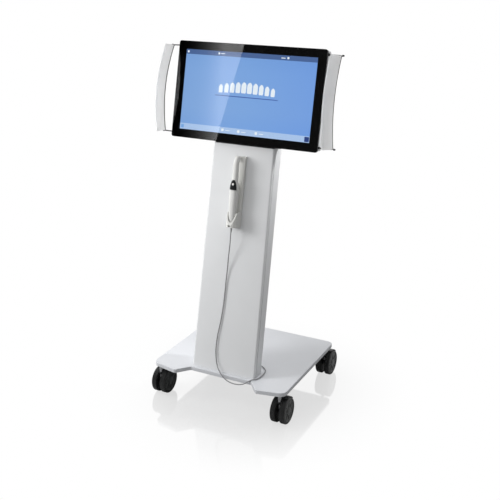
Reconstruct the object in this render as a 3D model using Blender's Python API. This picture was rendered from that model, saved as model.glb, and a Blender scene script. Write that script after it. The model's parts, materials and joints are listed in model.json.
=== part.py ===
"""Intraoral scanner on a wheeled cart: a leaning column, a wide touch screen, wing handles and a wand.

Metres, +Z up. The screen faces -Y. The origin lies on the floor under the middle of the base.
"""

import math

import bmesh
import bpy
from mathutils import Matrix, Vector

# Clearances
GAP = 0.0003
RUNNING_GAP = 0.0003
LOOSE_GAP = 0.0012

# Base plate
PLATE_TOP = 0.137
PLATE_T = 0.016
PLATE_W = 0.561
PLATE_BACK_Y = 0.2328
PLATE_CORNER_Y = -0.2557
FOOT_FRONT_Y = -0.277
NOTCH_EDGE_Y = -0.2258
NOTCH_INNER_W = 0.260
NOTCH_OUTER_W = 0.344
PLATE_BACK_R = 0.025
PLATE_FRONT_R = 0.030
NOTCH_R = 0.012
PLATE_EDGE_R = 0.0022

# Castors
WHEEL_R = 0.050
WHEEL_W = 0.0215
WHEEL_SIDES = 24
WEB_T = 0.014
CASTOR_INSET = 0.0248
FRONT_AXLE_Y = -0.2190
REAR_AXLE_Y = 0.2218
TRAIL = 0.023
AXLE_R = 0.004
FENDER_T = 0.0028
FENDER_GAP = 0.0020
FENDER_COVER = 0.8
STEM_R = 0.0065
STEM_PIN_R = 0.004
STEM_PIN_DEPTH = 0.026
STEM_THREAD_R = 0.005
STEM_THREAD_L = 0.011
FENDER_START = math.radians(36)
BOSS_R = 0.0115
BOSS_TOP = 0.0935

# Column
COLUMN_LEAN = math.radians(10.68)
COLUMN_FOOT_Y = -0.2071
COLUMN_TOP = 0.988
COLUMN_FOOT_W = 0.2668
COLUMN_TOP_W = 0.2510
COLUMN_FOOT_DEPTH = 0.0723
COLUMN_TOP_DEPTH = 0.0794
COVER_WALL = 0.0028
FRONT_RETURN = 0.011
SEAM_W = 0.0035
FRONT_CORNER_R = 0.007
REAR_CORNER_R = 0.020
CROWN = 0.003
SPINE_WALL = 0.003
SPINE_FLOOR = 0.006
MAST_W = 0.150
MAST_DEPTH = 0.034
MAST_WALL = 0.003
MAST_OVERLAP = 0.080
MAST_RISE = 0.200
LID_INSET = 0.0015
LID_TAPER = 0.020

# Screen
TILT = math.radians(11.74)
SCREEN_Y = -0.0308
SCREEN_Z = 1.1751
ACTIVE_W = 0.5314
ACTIVE_H = 0.2989
BORDER_SIDE = 0.0333
BORDER_TOP = 0.0308
BORDER_BOTTOM = 0.0318
GLASS_T = 0.003
GLASS_CORNER_R = 0.0085
FRAME_T = 0.009
PANEL_T = 0.0085
PANEL_MARGIN = 0.0040
WINDOW_GAP = 0.0010
HOUSING_SIDE_INSET = 0.004
HOUSING_TOP_INSET = 0.00225
HOUSING_BOTTOM_INSET = 0.00525
HOUSING_W = ACTIVE_W + 2 * (BORDER_SIDE - HOUSING_SIDE_INSET)
HOUSING_TOP = ACTIVE_H / 2 + BORDER_TOP - HOUSING_TOP_INSET
HOUSING_BOTTOM = -(ACTIVE_H / 2 + BORDER_BOTTOM - HOUSING_BOTTOM_INSET)
HOUSING_SIDE = 0.034
HOUSING_DEPTH = 0.0685
HOUSING_WALL = 0.0025
HOUSING_CORNER_R = 0.008
HOUSING_ROUND = 0.012
HUMP_INSET = 0.055
HUMP_ROUND = 0.008
MOUNT_W = 0.112
MOUNT_WALL = 0.004
VENT_COUNT = 13
VENT_PITCH = 0.018
VENT_W = 0.005
VENT_H = 0.034
VENT_Z = 0.085

# Wing handles
RAIL_REACH = 0.0483
RAIL_TAPER = 0.0025
RAIL_Y = 0.0294
RAIL_R = 0.00225
RAIL_TOP_INSET = 0.0143
RAIL_HALF_H = HOUSING_TOP - RAIL_TOP_INSET
RAIL_BEND_R = 0.003
ARM_ROOT_Y = 0.020
ARM_STRAIGHT = 0.008
FOOT_R = 0.0052
FOOT_L = 0.004
WING_BOW = 0.033
WING_DEPTH = 0.0758
WING_FLARE = 0.0106
WING_DROP = 0.004
WING_T = 0.0035
WING_BULGE = 0.0030
KNOB_R = 0.0034
KNOB_L = 0.0075

# Wand holder, measured on the column's leaning face
HOLDER_X = -0.001
HOLDER_W = 0.042
HOLDER_BOTTOM = 0.5625
HOLDER_TOP = 0.826
HOLDER_BACK_T = 0.012
HOOK_REACH = 0.037
HOOK_H = 0.035
HOOK_ARM_W = 0.0125
CRADLE_REACH = 0.055
CRADLE_H = 0.060
CRADLE_KNEE_REACH = 0.043
CRADLE_KNEE_DROP = 0.005
CRADLE_FRONT_H = 0.009
CRADLE_WALL = 0.003
CRADLE_FLOOR = 0.003
CORD_SLOT_W = 0.011

# Wand, measured on the column's leaning face
WAND_X = -0.0030
WAND_FOOT_OUT = 0.0335
WAND_NECK_OUT = 0.0395
WAND_FOOT_UP = HOLDER_BOTTOM + CRADLE_FLOOR + GAP
WAND_BODY_L = 0.1345
WAND_NECK_L = 0.097
WAND_SEAM_UP = WAND_FOOT_UP + WAND_BODY_L
WAND_BEND_UP = WAND_SEAM_UP + WAND_NECK_L
WAND_BEND_R = 0.020
WAND_BODY_W = 0.0325
WAND_BODY_D = 0.0320
WAND_NECK_W = 0.0225
WAND_HEAD_W = 0.0205
WAND_SIDES = 24
FOOT_SHRINK = 0.90
SEAM_SHRINK = 0.97
TRIM_RISE = 0.0025
TRIM_BOTTOM = WAND_SEAM_UP + TRIM_RISE
TRIM_H = 0.037
TRIM_T = 0.0010
TRIM_ANGLE = math.radians(54)
BUTTON_RISE = 0.021
BUTTON_UP = TRIM_BOTTOM + BUTTON_RISE
BUTTON_R = 0.0045
BUTTON_H = 0.0042
BUTTON_TRAVEL = 0.0008
BUTTON_PROUD = 0.0010
WINDOW_L = 0.006
WINDOW_W = 0.007
WINDOW_TURN = math.radians(66)
WINDOW_T = 0.0012
RELIEF_L = 0.022
RELIEF_TOP_R = 0.0042
RELIEF_TIP_R = 0.0028

# Cord and what it ends in
CORD_D = 0.004
CORD_POINTS = 80
GLAND_X = 0.040
GLAND_Z = 0.176
GLAND_FLANGE_R = 0.0095
GLAND_FLANGE_T = 0.004
GLAND_TIP_R = 0.0045
GLAND_L = 0.018
GLAND_SHANK_R = 0.006

# Mains inlet on the column's back
INLET_Z = 0.250
INLET_W = 0.076
INLET_H = 0.034
INLET_T = 0.003
SOCKET_W = 0.027
SOCKET_H = 0.020
SOCKET_DEPTH = 0.012
ROCKER_X = 0.022
ROCKER_W = 0.013
ROCKER_H = 0.021
ROCKER_D = 0.009
BACK_VENTS = 7
BACK_VENT_PITCH = 0.012
BACK_VENT_W = 0.110
BACK_VENT_H = 0.004
BACK_VENT_Z = 0.780

WHITE = ("white_plastic", (0.80, 0.81, 0.82), 0.38, 0.0)
PAINT = ("white_paint", (0.78, 0.79, 0.81), 0.32, 0.0)
GREY = ("grey_plastic", (0.16, 0.165, 0.17), 0.50, 0.0)
DARK = ("dark_plastic", (0.022, 0.023, 0.025), 0.45, 0.0)
STEEL = ("zinc_steel", (0.55, 0.56, 0.58), 0.35, 1.0)
RAIL = ("dark_metal", (0.10, 0.10, 0.11), 0.35, 1.0)
GLASS = ("screen_glass", (0.012, 0.013, 0.016), 0.06, 0.0)
PANEL = ("display_panel", (0.18, 0.35, 0.75), 0.30, 0.0)
RUBBER = ("grey_rubber", (0.30, 0.30, 0.31), 0.60, 0.0)


def clear_scene():
    for obj in list(bpy.data.objects):
        bpy.data.objects.remove(obj, do_unlink=True)


def material(finish):
    name, color, roughness, metallic = finish
    made = bpy.data.materials.get(name)
    if made is None:
        made = bpy.data.materials.new(name)
        made.use_nodes = True
        shader = made.node_tree.nodes["Principled BSDF"]
        shader.inputs["Base Color"].default_value = (*color, 1.0)
        shader.inputs["Roughness"].default_value = roughness
        shader.inputs["Metallic"].default_value = metallic
        made.diffuse_color = (*color, 1.0)
    return made


def add_object(name, mesh, finish, parent=None):
    obj = bpy.data.objects.new(name, mesh)
    bpy.context.scene.collection.objects.link(obj)
    obj.parent = parent
    if finish is not None:
        mesh.materials.clear()
        mesh.materials.append(material(finish))
    return obj


def add_empty(name, location, lean=0.0, parent=None):
    empty = bpy.data.objects.new(name, None)
    bpy.context.scene.collection.objects.link(empty)
    empty.location = location
    empty.rotation_euler = (-lean, 0.0, 0.0)
    empty.parent = parent
    return empty


def solid(name, bm, finish, parent=None, smooth=math.radians(35)):
    """Turns a closed bmesh into a named object with its faces pointing out."""
    bmesh.ops.recalc_face_normals(bm, faces=bm.faces)
    mesh = bpy.data.meshes.new(name)
    bm.to_mesh(mesh)
    bm.free()
    mesh.shade_smooth()
    mesh.set_sharp_from_angle(angle=smooth)
    return add_object(name, mesh, finish, parent)


def add_bevel(obj, width, segments=2):
    bevel = obj.modifiers.new("edge_round", "BEVEL")
    bevel.width = width
    bevel.segments = segments
    bevel.limit_method = "ANGLE"
    bevel.angle_limit = math.radians(40)


def cut(obj, *cutters):
    """Cuts each closed cutter out of the object; cutters stay hidden guides."""
    for cutter in cutters:
        cutter.hide_render = True
        cutter.display_type = "WIRE"
        boolean = obj.modifiers.new(cutter.name, "BOOLEAN")
        boolean.operation = "DIFFERENCE"
        boolean.solver = "EXACT"
        boolean.object = cutter


def add_union(obj, other):
    """Welds another closed body to the object; the other stays a hidden guide."""
    other.hide_render = True
    other.display_type = "WIRE"
    boolean = obj.modifiers.new(other.name, "BOOLEAN")
    boolean.operation = "UNION"
    boolean.solver = "EXACT"
    boolean.object = other


# Outlines in a plane


def arc(centre, radius, start, end, steps):
    """Points on an arc from one angle to the other, in radians, both ends included."""
    angles = [start + (end - start) * i / steps for i in range(steps + 1)]
    return [(centre[0] + radius * math.cos(a), centre[1] + radius * math.sin(a)) for a in angles]


def filleted(corners, steps=5):
    """Rounds each corner (x, y, radius) of a closed outline with a tangent arc."""
    outline = []
    for i, (x, y, radius) in enumerate(corners):
        corner = Vector((x, y))
        before = (Vector(corners[i - 1][:2]) - corner).normalized()
        after = (Vector(corners[(i + 1) % len(corners)][:2]) - corner).normalized()
        if radius <= 0:
            outline.append((x, y))
            continue
        half = before.angle(after) / 2
        centre = corner + (before + after).normalized() * radius / math.sin(half)
        first = corner + before * radius / math.tan(half) - centre
        last = corner + after * radius / math.tan(half) - centre
        start = math.atan2(first.y, first.x)
        turn = math.atan2(last.y, last.x) - start
        turn = (turn + math.pi) % (2 * math.pi) - math.pi
        outline += arc(centre, radius, start, start + turn, steps)
    return outline


def rounded_rectangle(left, right, bottom, top, radius, steps=5):
    corners = [(right, bottom, radius), (right, top, radius), (left, top, radius), (left, bottom, radius)]
    return filleted(corners, steps)


# Solids from outlines


def loft(rings, loop=False):
    """Joins rings of equal count with quads: capped at both ends, or joined last to first."""
    bm = bmesh.new()
    rows = [[bm.verts.new(p) for p in ring] for ring in rings]
    count = len(rows[0])
    pairs = list(zip(rows, rows[1:]))
    if loop:
        pairs.append((rows[-1], rows[0]))
    for low, high in pairs:
        for i in range(count):
            j = (i + 1) % count
            bm.faces.new((low[i], low[j], high[j], high[i]))
    if not loop:
        bm.faces.new(list(reversed(rows[0])))
        bm.faces.new(rows[-1])
    return bm


def prism(outline, low, high):
    """A flat outline in XY raised from one height to the other."""
    return loft([[(x, y, z) for x, y in outline] for z in (low, high)])


def slab(outline, front, back):
    """A flat outline in XZ given thickness along Y."""
    return loft([[(x, y, z) for x, z in outline] for y in (front, back)])


def block(low, high):
    bm = bmesh.new()
    bmesh.ops.create_cube(bm, size=1.0)
    size = Vector(high) - Vector(low)
    middle = (Vector(high) + Vector(low)) / 2
    bmesh.ops.scale(bm, vec=size, verts=bm.verts)
    bmesh.ops.translate(bm, vec=middle, verts=bm.verts)
    return bm


def turned(profile, sides, phase=0.0):
    """Spins (radius, height) points about Z; a point at radius 0 closes the end on the axis."""
    bm = bmesh.new()
    rows = []
    for radius, height in profile:
        if radius <= 0:
            rows.append([bm.verts.new((0, 0, height))])
            continue
        row = []
        for i in range(sides):
            a = phase + 2 * math.pi * i / sides
            row.append(bm.verts.new((radius * math.cos(a), radius * math.sin(a), height)))
        rows.append(row)
    for low, high in zip(rows, rows[1:]):
        for i in range(sides):
            j = (i + 1) % sides
            corners = [low[i % len(low)], low[j % len(low)], high[j % len(high)], high[i % len(high)]]
            face = list(dict.fromkeys(corners))
            bm.faces.new(face)
    return bm


def joined(*parts):
    """One bmesh that holds several separate closed bodies."""
    bm = bmesh.new()
    for part in parts:
        mesh = bpy.data.meshes.new("part")
        part.to_mesh(mesh)
        part.free()
        bm.from_mesh(mesh)
        bpy.data.meshes.remove(mesh)
    return bm


def moved(bm, matrix):
    bmesh.ops.transform(bm, matrix=matrix, verts=bm.verts)
    return bm


# Base plate and castors


def plate_outline():
    inner, outer, side = NOTCH_INNER_W / 2, NOTCH_OUTER_W / 2, PLATE_W / 2
    right = [
        (inner, NOTCH_EDGE_Y, NOTCH_R),
        (outer, FOOT_FRONT_Y, NOTCH_R),
        (side, PLATE_CORNER_Y, PLATE_FRONT_R),
        (side, PLATE_BACK_Y, PLATE_BACK_R),
    ]
    left = [(-x, y, radius) for x, y, radius in reversed(right)]
    return filleted(right + left, steps=6)


def castor_places():
    """(name, x, axle y) of the four castors."""
    for end, y in (("front", FRONT_AXLE_Y), ("rear", REAR_AXLE_Y)):
        for side, sign in (("left", -1), ("right", 1)):
            yield f"{end}_{side}", sign * (PLATE_W / 2 - CASTOR_INSET), y


def base_plate():
    plate = solid("base_plate", prism(plate_outline(), PLATE_TOP - PLATE_T, PLATE_TOP), PAINT)
    add_bevel(plate, PLATE_EDGE_R)
    bottom = PLATE_TOP - PLATE_T
    for name, x, y in castor_places():
        radius = STEM_THREAD_R + GAP
        low, high = -GAP, STEM_THREAD_L + GAP
        hole = turned([(0, low), (radius, low), (radius, high), (0, high)], 16)
        cutter = solid(f"{name}_stem_hole", hole, None)
        cutter.location = (x, y - TRAIL, bottom)
        cut(plate, cutter)
    return plate


def hood_outline():
    """Side view of a castor's hood round its axle: fender arc, step down to the stem, and axle boss."""
    outer = WHEEL_R + FENDER_GAP + FENDER_T
    step = -TRAIL + BOSS_R
    boss_top = BOSS_TOP - WHEEL_R
    outline = arc((0, 0), outer, FENDER_START, math.acos(step / outer), 14)
    back = -TRAIL - BOSS_R * 0.8
    outline += [(step, boss_top), (back + BOSS_R * 0.2, boss_top)]
    outline += [(back, boss_top - 0.003), (back, boss_top / 2)]
    outline += arc((0, 0), AXLE_R * 3, math.radians(205), math.radians(325), 6)
    return outline


def castor_hood(name, parent):
    half = WEB_T / 2 + LOOSE_GAP + WHEEL_W * FENDER_COVER
    rings = [[(x, y, z) for y, z in hood_outline()] for x in (-half, half)]
    hood = solid(name, loft(rings), DARK, parent)
    hood.location = (0, TRAIL, WHEEL_R)
    well = WHEEL_R + FENDER_GAP
    cutters = []
    for side, letter in ((-1, "l"), (1, "r")):
        bm = turned([(0, 0), (well, 0), (well, WHEEL_W * 2), (0, WHEEL_W * 2)], 32)
        turn = Matrix.Rotation(side * math.pi / 2, 4, "Y")
        cutter = solid(f"{name}_well_{letter}", moved(bm, turn), None, parent)
        cutter.location = (side * WEB_T / 2, TRAIL, WHEEL_R)
        cutters.append(cutter)
    bore = STEM_PIN_R + RUNNING_GAP
    low = BOSS_TOP - STEM_PIN_DEPTH - RUNNING_GAP
    pin = turned([(0, low), (bore, low), (bore, BOSS_TOP + 0.01), (0, BOSS_TOP + 0.01)], 16)
    cutters.append(solid(f"{name}_pin_hole", pin, None, parent))
    axle_r = AXLE_R + GAP
    axle = turned([(0, -WEB_T), (axle_r, -WEB_T), (axle_r, WEB_T), (0, WEB_T)], 16)
    axle_hole = solid(f"{name}_axle_hole", moved(axle, Matrix.Rotation(math.pi / 2, 4, "Y")), None, parent)
    axle_hole.location = (0, TRAIL, WHEEL_R)
    cut(hood, *cutters, axle_hole)
    return hood


def castor_stem(name, x, y):
    """The fixed stem: a pin in the hood, a wide shank, and the threaded end in the plate."""
    bottom = PLATE_TOP - PLATE_T
    low = BOSS_TOP - STEM_PIN_DEPTH
    shank_low = BOSS_TOP + RUNNING_GAP
    profile = [
        (0, low),
        (STEM_PIN_R - 0.0008, low),
        (STEM_PIN_R, low + 0.0008),
        (STEM_PIN_R, shank_low),
        (STEM_R, shank_low),
        (STEM_R, bottom - GAP),
        (STEM_THREAD_R, bottom - GAP),
        (STEM_THREAD_R, bottom + STEM_THREAD_L),
        (0, bottom + STEM_THREAD_L),
    ]
    stem = solid(name, turned(profile, 20), STEEL)
    stem.location = (x, y, 0)
    return stem


def wheel_mesh():
    """Half of a twin wheel about Z: tyre, rim recess, and a closed hub with a blind bore."""
    corner = WHEEL_R / math.cos(math.pi / WHEEL_SIDES)
    bore = AXLE_R + RUNNING_GAP
    end = WHEEL_W - 0.004
    profile = [
        (0, end),
        (bore, end),
        (bore, 0),
        (corner - 0.0025, 0),
        (corner, 0.0025),
        (corner, WHEEL_W - 0.0045),
        (corner - 0.004, WHEEL_W - 0.0008),
        (corner - 0.0095, WHEEL_W),
        (corner - 0.0115, WHEEL_W - 0.0025),
        (0, WHEEL_W - 0.0015),
    ]
    bm = turned(profile, WHEEL_SIDES, phase=math.pi / WHEEL_SIDES)
    bmesh.ops.recalc_face_normals(bm, faces=bm.faces)
    mesh = bpy.data.meshes.new("castor_wheel")
    bm.to_mesh(mesh)
    bm.free()
    mesh.shade_smooth()
    mesh.set_sharp_from_angle(angle=math.radians(35))
    return mesh


def castors():
    wheel = wheel_mesh()
    inner = WEB_T / 2 + LOOSE_GAP
    reach = inner + WHEEL_W - 0.004 - GAP
    for name, x, y in castor_places():
        castor_stem(f"{name}_stem", x, y - TRAIL)
        swivel = add_empty(f"{name}_swivel_axis", (x, y - TRAIL, 0))
        castor_hood(f"{name}_hood", swivel)
        axle = turned([(0, -reach), (AXLE_R, -reach), (AXLE_R, reach), (0, reach)], 16)
        pin = solid(f"{name}_axle", moved(axle, Matrix.Rotation(math.pi / 2, 4, "Y")), STEEL, swivel)
        pin.location = (0, TRAIL, WHEEL_R)
        for side, sign in (("l", -1), ("r", 1)):
            half = add_object(f"{name}_wheel_{side}", wheel, DARK, swivel)
            half.location = (sign * inner, TRAIL, WHEEL_R)
            half.rotation_euler = (0, sign * math.pi / 2, 0)


# Column


def face_y(z):
    """Where the column's front face is at a height."""
    return COLUMN_FOOT_Y + (z - PLATE_TOP) * math.tan(COLUMN_LEAN)


def column_share(z):
    return (z - PLATE_TOP) / (COLUMN_TOP - PLATE_TOP)


def half_width(z):
    return (COLUMN_FOOT_W + (COLUMN_TOP_W - COLUMN_FOOT_W) * column_share(z)) / 2


def depth_at(z):
    return COLUMN_FOOT_DEPTH + (COLUMN_TOP_DEPTH - COLUMN_FOOT_DEPTH) * column_share(z)


def column_ring(path, height, slope=0.0):
    """Places a path of (x, depth) at a height; slope tips the cut so that it falls towards the back."""
    ring = []
    for x, depth in path:
        z = height - depth * slope
        ring.append((x, face_y(z) + depth, z))
    return ring


def front_path(half, inset, end):
    """From the right return round the crowned front to the left return."""
    radius = FRONT_CORNER_R
    flat = half - radius
    right = [(half - inset, end)] + arc((flat, radius), radius - inset, 0, -math.pi / 2, 4)
    crown = []
    steps = 8
    for i in range(1, steps):
        x = flat * (1 - 2 * i / steps)
        crown.append((x, inset - CROWN * (1 - (x / flat) ** 2)))
    left = [(-x, depth) for x, depth in reversed(right)]
    return right + crown + left


def rear_path(half, depth, inset, start):
    radius = REAR_CORNER_R
    corner = (half - radius, depth - radius)
    right = [(half - inset, start)] + arc(corner, radius - inset, 0, math.pi / 2, 5)
    left = [(-x, y) for x, y in reversed(right)]
    return right + left


def box_path(half, near, far, near_r, far_r):
    corners = [(half, near, near_r), (half, far, far_r), (-half, far, far_r), (-half, near, near_r)]
    return filleted(corners, steps=4)


def cover_ring(kind, height, slope):
    half, depth = half_width(height), depth_at(height)
    if kind == "front":
        outer = front_path(half, 0, FRONT_RETURN)
        inner = front_path(half, COVER_WALL, FRONT_RETURN)
    else:
        start = FRONT_RETURN + SEAM_W
        outer = rear_path(half, depth, 0, start)
        inner = rear_path(half, depth, COVER_WALL, start)
    return column_ring(outer + list(reversed(inner)), height, slope)


def spine_rings(z, slope, inset):
    half, depth = half_width(z) - inset, depth_at(z)
    near_r = FRONT_CORNER_R - inset / 2
    path = box_path(half, inset, depth - inset, near_r, REAR_CORNER_R - inset)
    return column_ring(path, z, slope)


def column():
    low = PLATE_TOP + GAP
    slope = math.tan(COLUMN_LEAN)
    front_rings = [cover_ring("front", low, 0), cover_ring("front", COLUMN_TOP, slope)]
    rear_rings = [cover_ring("rear", low, 0), cover_ring("rear", COLUMN_TOP, slope)]
    solid("column_front_cover", loft(front_rings), WHITE)
    rear = solid("column_rear_cover", loft(rear_rings), WHITE)
    skin = COVER_WALL + GAP * 2
    core = skin + SPINE_WALL
    rings = [
        spine_rings(low, 0, skin),
        spine_rings(COLUMN_TOP, slope, skin),
        spine_rings(COLUMN_TOP, slope, core),
        spine_rings(low + SPINE_FLOOR, 0, core),
    ]
    spine = solid("column_spine", loft(rings), GREY)
    mast_low = COLUMN_TOP - MAST_OVERLAP
    near = core + GAP
    path = box_path(MAST_W / 2, near, near + MAST_DEPTH, 0.004, 0.004)
    bore = box_path(MAST_W / 2 - MAST_WALL, near + MAST_WALL, near + MAST_DEPTH - MAST_WALL, 0.002, 0.002)
    top = COLUMN_TOP + MAST_RISE
    levels = ((path, mast_low), (path, top), (bore, top), (bore, mast_low))
    mast = [column_ring(outline, height) for outline, height in levels]
    solid("monitor_mast", loft(mast, loop=True), STEEL)
    back_fittings(rear, spine)


def rear_frame(z):
    """Matrix that sets a local XY face, with +Z outwards, on the column's back at a height."""
    rise = 0.1
    low = Vector((0, face_y(z) + depth_at(z), z))
    high = Vector((0, face_y(z + rise) + depth_at(z + rise), z + rise))
    up = (high - low).normalized()
    right = Vector((-1, 0, 0))
    out = right.cross(up)
    matrix = Matrix((right, up, out)).transposed().to_4x4()
    matrix.translation = low
    return matrix


def back_fittings(rear, spine):
    """Cord gland, mains inlet, rocker switch and cooling slots in the column's back."""
    gland_place = rear_frame(GLAND_Z) @ Matrix.Translation((-GLAND_X, 0, 0))
    wall = COVER_WALL
    profile = [
        (0, -wall),
        (GLAND_SHANK_R, -wall),
        (GLAND_SHANK_R, GAP),
        (GLAND_FLANGE_R, GAP),
        (GLAND_FLANGE_R, GLAND_FLANGE_T - 0.001),
        (GLAND_FLANGE_R - 0.001, GLAND_FLANGE_T),
        (GLAND_TIP_R + 0.0015, GLAND_FLANGE_T),
        (GLAND_TIP_R, GLAND_L - 0.001),
        (GLAND_TIP_R - 0.001, GLAND_L),
        (0, GLAND_L),
    ]
    solid("cord_gland", moved(turned(profile, 20), gland_place), DARK)
    reach = wall * 3
    radius = GLAND_SHANK_R + GAP
    hole = turned([(0, -reach), (radius, -reach), (radius, reach), (0, reach)], 20)
    gland_hole = solid("gland_hole", moved(hole, gland_place), None)

    place = rear_frame(INLET_Z)
    half_w, half_h = INLET_W / 2, INLET_H / 2
    frame = prism(rounded_rectangle(-half_w, half_w, -half_h, half_h, 0.004), GAP, INLET_T)
    plate = solid("inlet_plate", moved(frame, place), DARK)
    socket_x = ROCKER_X - ROCKER_W / 2 - 0.004 - SOCKET_W / 2
    socket_at = place @ Matrix.Translation((-socket_x, 0, 0))
    mouth_outline = rounded_rectangle(-SOCKET_W / 2, SOCKET_W / 2, -SOCKET_H / 2, SOCKET_H / 2, 0.003)
    mouth = prism(mouth_outline, -SOCKET_DEPTH * 2, INLET_T * 2)
    rocker_at = place @ Matrix.Translation((-ROCKER_X - 0.002, 0, 0))
    slot_w, slot_h = ROCKER_W / 2 + LOOSE_GAP / 2, ROCKER_H / 2 + LOOSE_GAP / 2
    slot = block((-slot_w, -slot_h, -ROCKER_D), (slot_w, slot_h, ROCKER_D))
    mouth_cutter = solid("socket_mouth", moved(mouth, socket_at), None)
    slot_cutter = solid("rocker_slot", moved(slot, rocker_at), None)
    cut(plate, mouth_cutter, slot_cutter)

    shell_w, shell_h = SOCKET_W / 2 - GAP, SOCKET_H / 2 - GAP
    outer = rounded_rectangle(-shell_w, shell_w, -shell_h, shell_h, 0.0025)
    inner = rounded_rectangle(-shell_w + 0.002, shell_w - 0.002, -shell_h + 0.002, shell_h - 0.002, 0.002)
    cup = [
        [(x, y, -SOCKET_DEPTH - 0.001) for x, y in outer],
        [(x, y, INLET_T - 0.0005) for x, y in outer],
        [(x, y, INLET_T - 0.0005) for x, y in inner],
        [(x, y, -SOCKET_DEPTH) for x, y in inner],
    ]
    solid("mains_inlet", moved(loft(cup), socket_at), DARK)

    cutters = [gland_hole]
    opening = block((-half_w + 0.004, -half_h + 0.004, -reach), (half_w - 0.004, half_h - 0.004, GAP / 2))
    cutters.append(solid("inlet_opening", moved(opening, place), None))
    slots = []
    for i in range(BACK_VENTS):
        z = (i - (BACK_VENTS - 1) / 2) * BACK_VENT_PITCH
        low = (-BACK_VENT_W / 2, z - BACK_VENT_H / 2, -reach)
        slots.append(block(low, (BACK_VENT_W / 2, z + BACK_VENT_H / 2, reach)))
    cutters.append(solid("back_vent_slots", moved(joined(*slots), rear_frame(BACK_VENT_Z)), None))
    cut(rear, *cutters)
    cut(spine, *cutters[:2])

    axis = add_empty("rocker_axis", rocker_at @ Vector((0, 0, 0.0005)))
    axis.rotation_euler = rocker_at.to_euler()
    top = INLET_T + 0.0022
    side = [(-ROCKER_H / 2, top - 0.0018), (0, top - 0.0032), (ROCKER_H / 2, top + 0.0006)]
    side += [(ROCKER_H / 2 - 0.0015, -0.002), (0, -0.003), (-ROCKER_H / 2 + 0.0015, -0.002)]
    rings = [[(x, y, z) for y, z in side] for x in (-ROCKER_W / 2, ROCKER_W / 2)]
    solid("power_rocker", loft(rings), DARK, axis)


# Screen


def screen_parts():
    """Glass, black frame, display panel, rear housing and their mount, in the tilted screen's own axes."""
    axes = add_empty("screen_axes", (0, SCREEN_Y, SCREEN_Z), TILT)
    half = ACTIVE_W / 2 + BORDER_SIDE
    top = ACTIVE_H / 2 + BORDER_TOP
    bottom = -(ACTIVE_H / 2 + BORDER_BOTTOM)
    pane = slab(rounded_rectangle(-half, half, bottom, top, GLASS_CORNER_R), 0, GLASS_T)
    glass = solid("glass_panel", pane, GLASS, axes)
    add_bevel(glass, 0.0008, 1)

    near = GLASS_T + GAP
    far = near + FRAME_T
    rim = 0.0008
    outer = rounded_rectangle(-half + rim, half - rim, bottom + rim, top - rim, GLASS_CORNER_R - rim)
    panel_w = ACTIVE_W / 2 + PANEL_MARGIN
    panel_h = ACTIVE_H / 2 + PANEL_MARGIN
    hole_w, hole_h = panel_w + WINDOW_GAP, panel_h + WINDOW_GAP
    window = rounded_rectangle(-hole_w, hole_w, -hole_h, hole_h, 0.002)
    rings = [
        [(x, near, z) for x, z in outer],
        [(x, far, z) for x, z in outer],
        [(x, far, z) for x, z in window],
        [(x, near, z) for x, z in window],
    ]
    solid("screen_frame", loft(rings, loop=True), DARK, axes)
    panel = rounded_rectangle(-panel_w, panel_w, -panel_h, panel_h, 0.0015, 2)
    solid("display_panel", slab(panel, near, near + PANEL_T), PANEL, axes)

    housing(axes, far + GAP)
    display_mount(axes, near + PANEL_T + GAP)
    return axes


def housing_ring(inset, y):
    half = HOUSING_W / 2 - inset
    radius = HOUSING_CORNER_R + inset / 5
    outline = rounded_rectangle(-half, half, HOUSING_BOTTOM + inset, HOUSING_TOP - inset, radius, 4)
    return [(x, y, z) for x, z in outline]


def housing(axes, front):
    """Rear shell of the screen: a shallow pan with a raised box in its back, open to the front."""
    back = front + HOUSING_DEPTH
    wall = HOUSING_WALL
    side = front + HOUSING_SIDE
    shoulder = side + HOUSING_ROUND * 0.6
    step = shoulder + HOUSING_ROUND * 0.3
    profile = [(0, side), (HOUSING_ROUND * 0.25, side + HOUSING_ROUND * 0.4)]
    profile += [(HOUSING_ROUND, shoulder), (HUMP_INSET, step)]
    profile += [(HUMP_INSET + HUMP_ROUND * 0.4, back - HUMP_ROUND)]
    profile += [(HUMP_INSET + HUMP_ROUND, back - HUMP_ROUND * 0.3)]
    profile += [(HUMP_INSET + HUMP_ROUND * 2, back)]
    outer = [housing_ring(inset, y) for inset, y in profile]
    inner = [housing_ring(inset + wall, y - wall) for inset, y in profile]
    rings = list(reversed(outer)) + [housing_ring(0, front), housing_ring(wall, front)] + inner
    shell = solid("rear_housing", loft(rings), WHITE, axes)

    mast_w = MAST_W / 2 + LOOSE_GAP
    mouth_top = HOUSING_BOTTOM + HUMP_INSET + HUMP_ROUND
    low = (-mast_w, GLASS_T + FRAME_T * 2, HOUSING_BOTTOM - HUMP_ROUND)
    mouth = block(low, (mast_w, back - HUMP_ROUND / 2, mouth_top))
    mouth_cutter = solid("mast_mouth", mouth, None, axes)
    slots = []
    for i in range(VENT_COUNT):
        x = (i - (VENT_COUNT - 1) / 2) * VENT_PITCH
        low = (x - VENT_W / 2, back - wall * 3, VENT_Z - VENT_H / 2)
        slots.append(block(low, (x + VENT_W / 2, back + wall * 3, VENT_Z + VENT_H / 2)))
    vents = solid("housing_vent_slots", joined(*slots), None, axes)
    cut(shell, mouth_cutter, vents)


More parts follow.
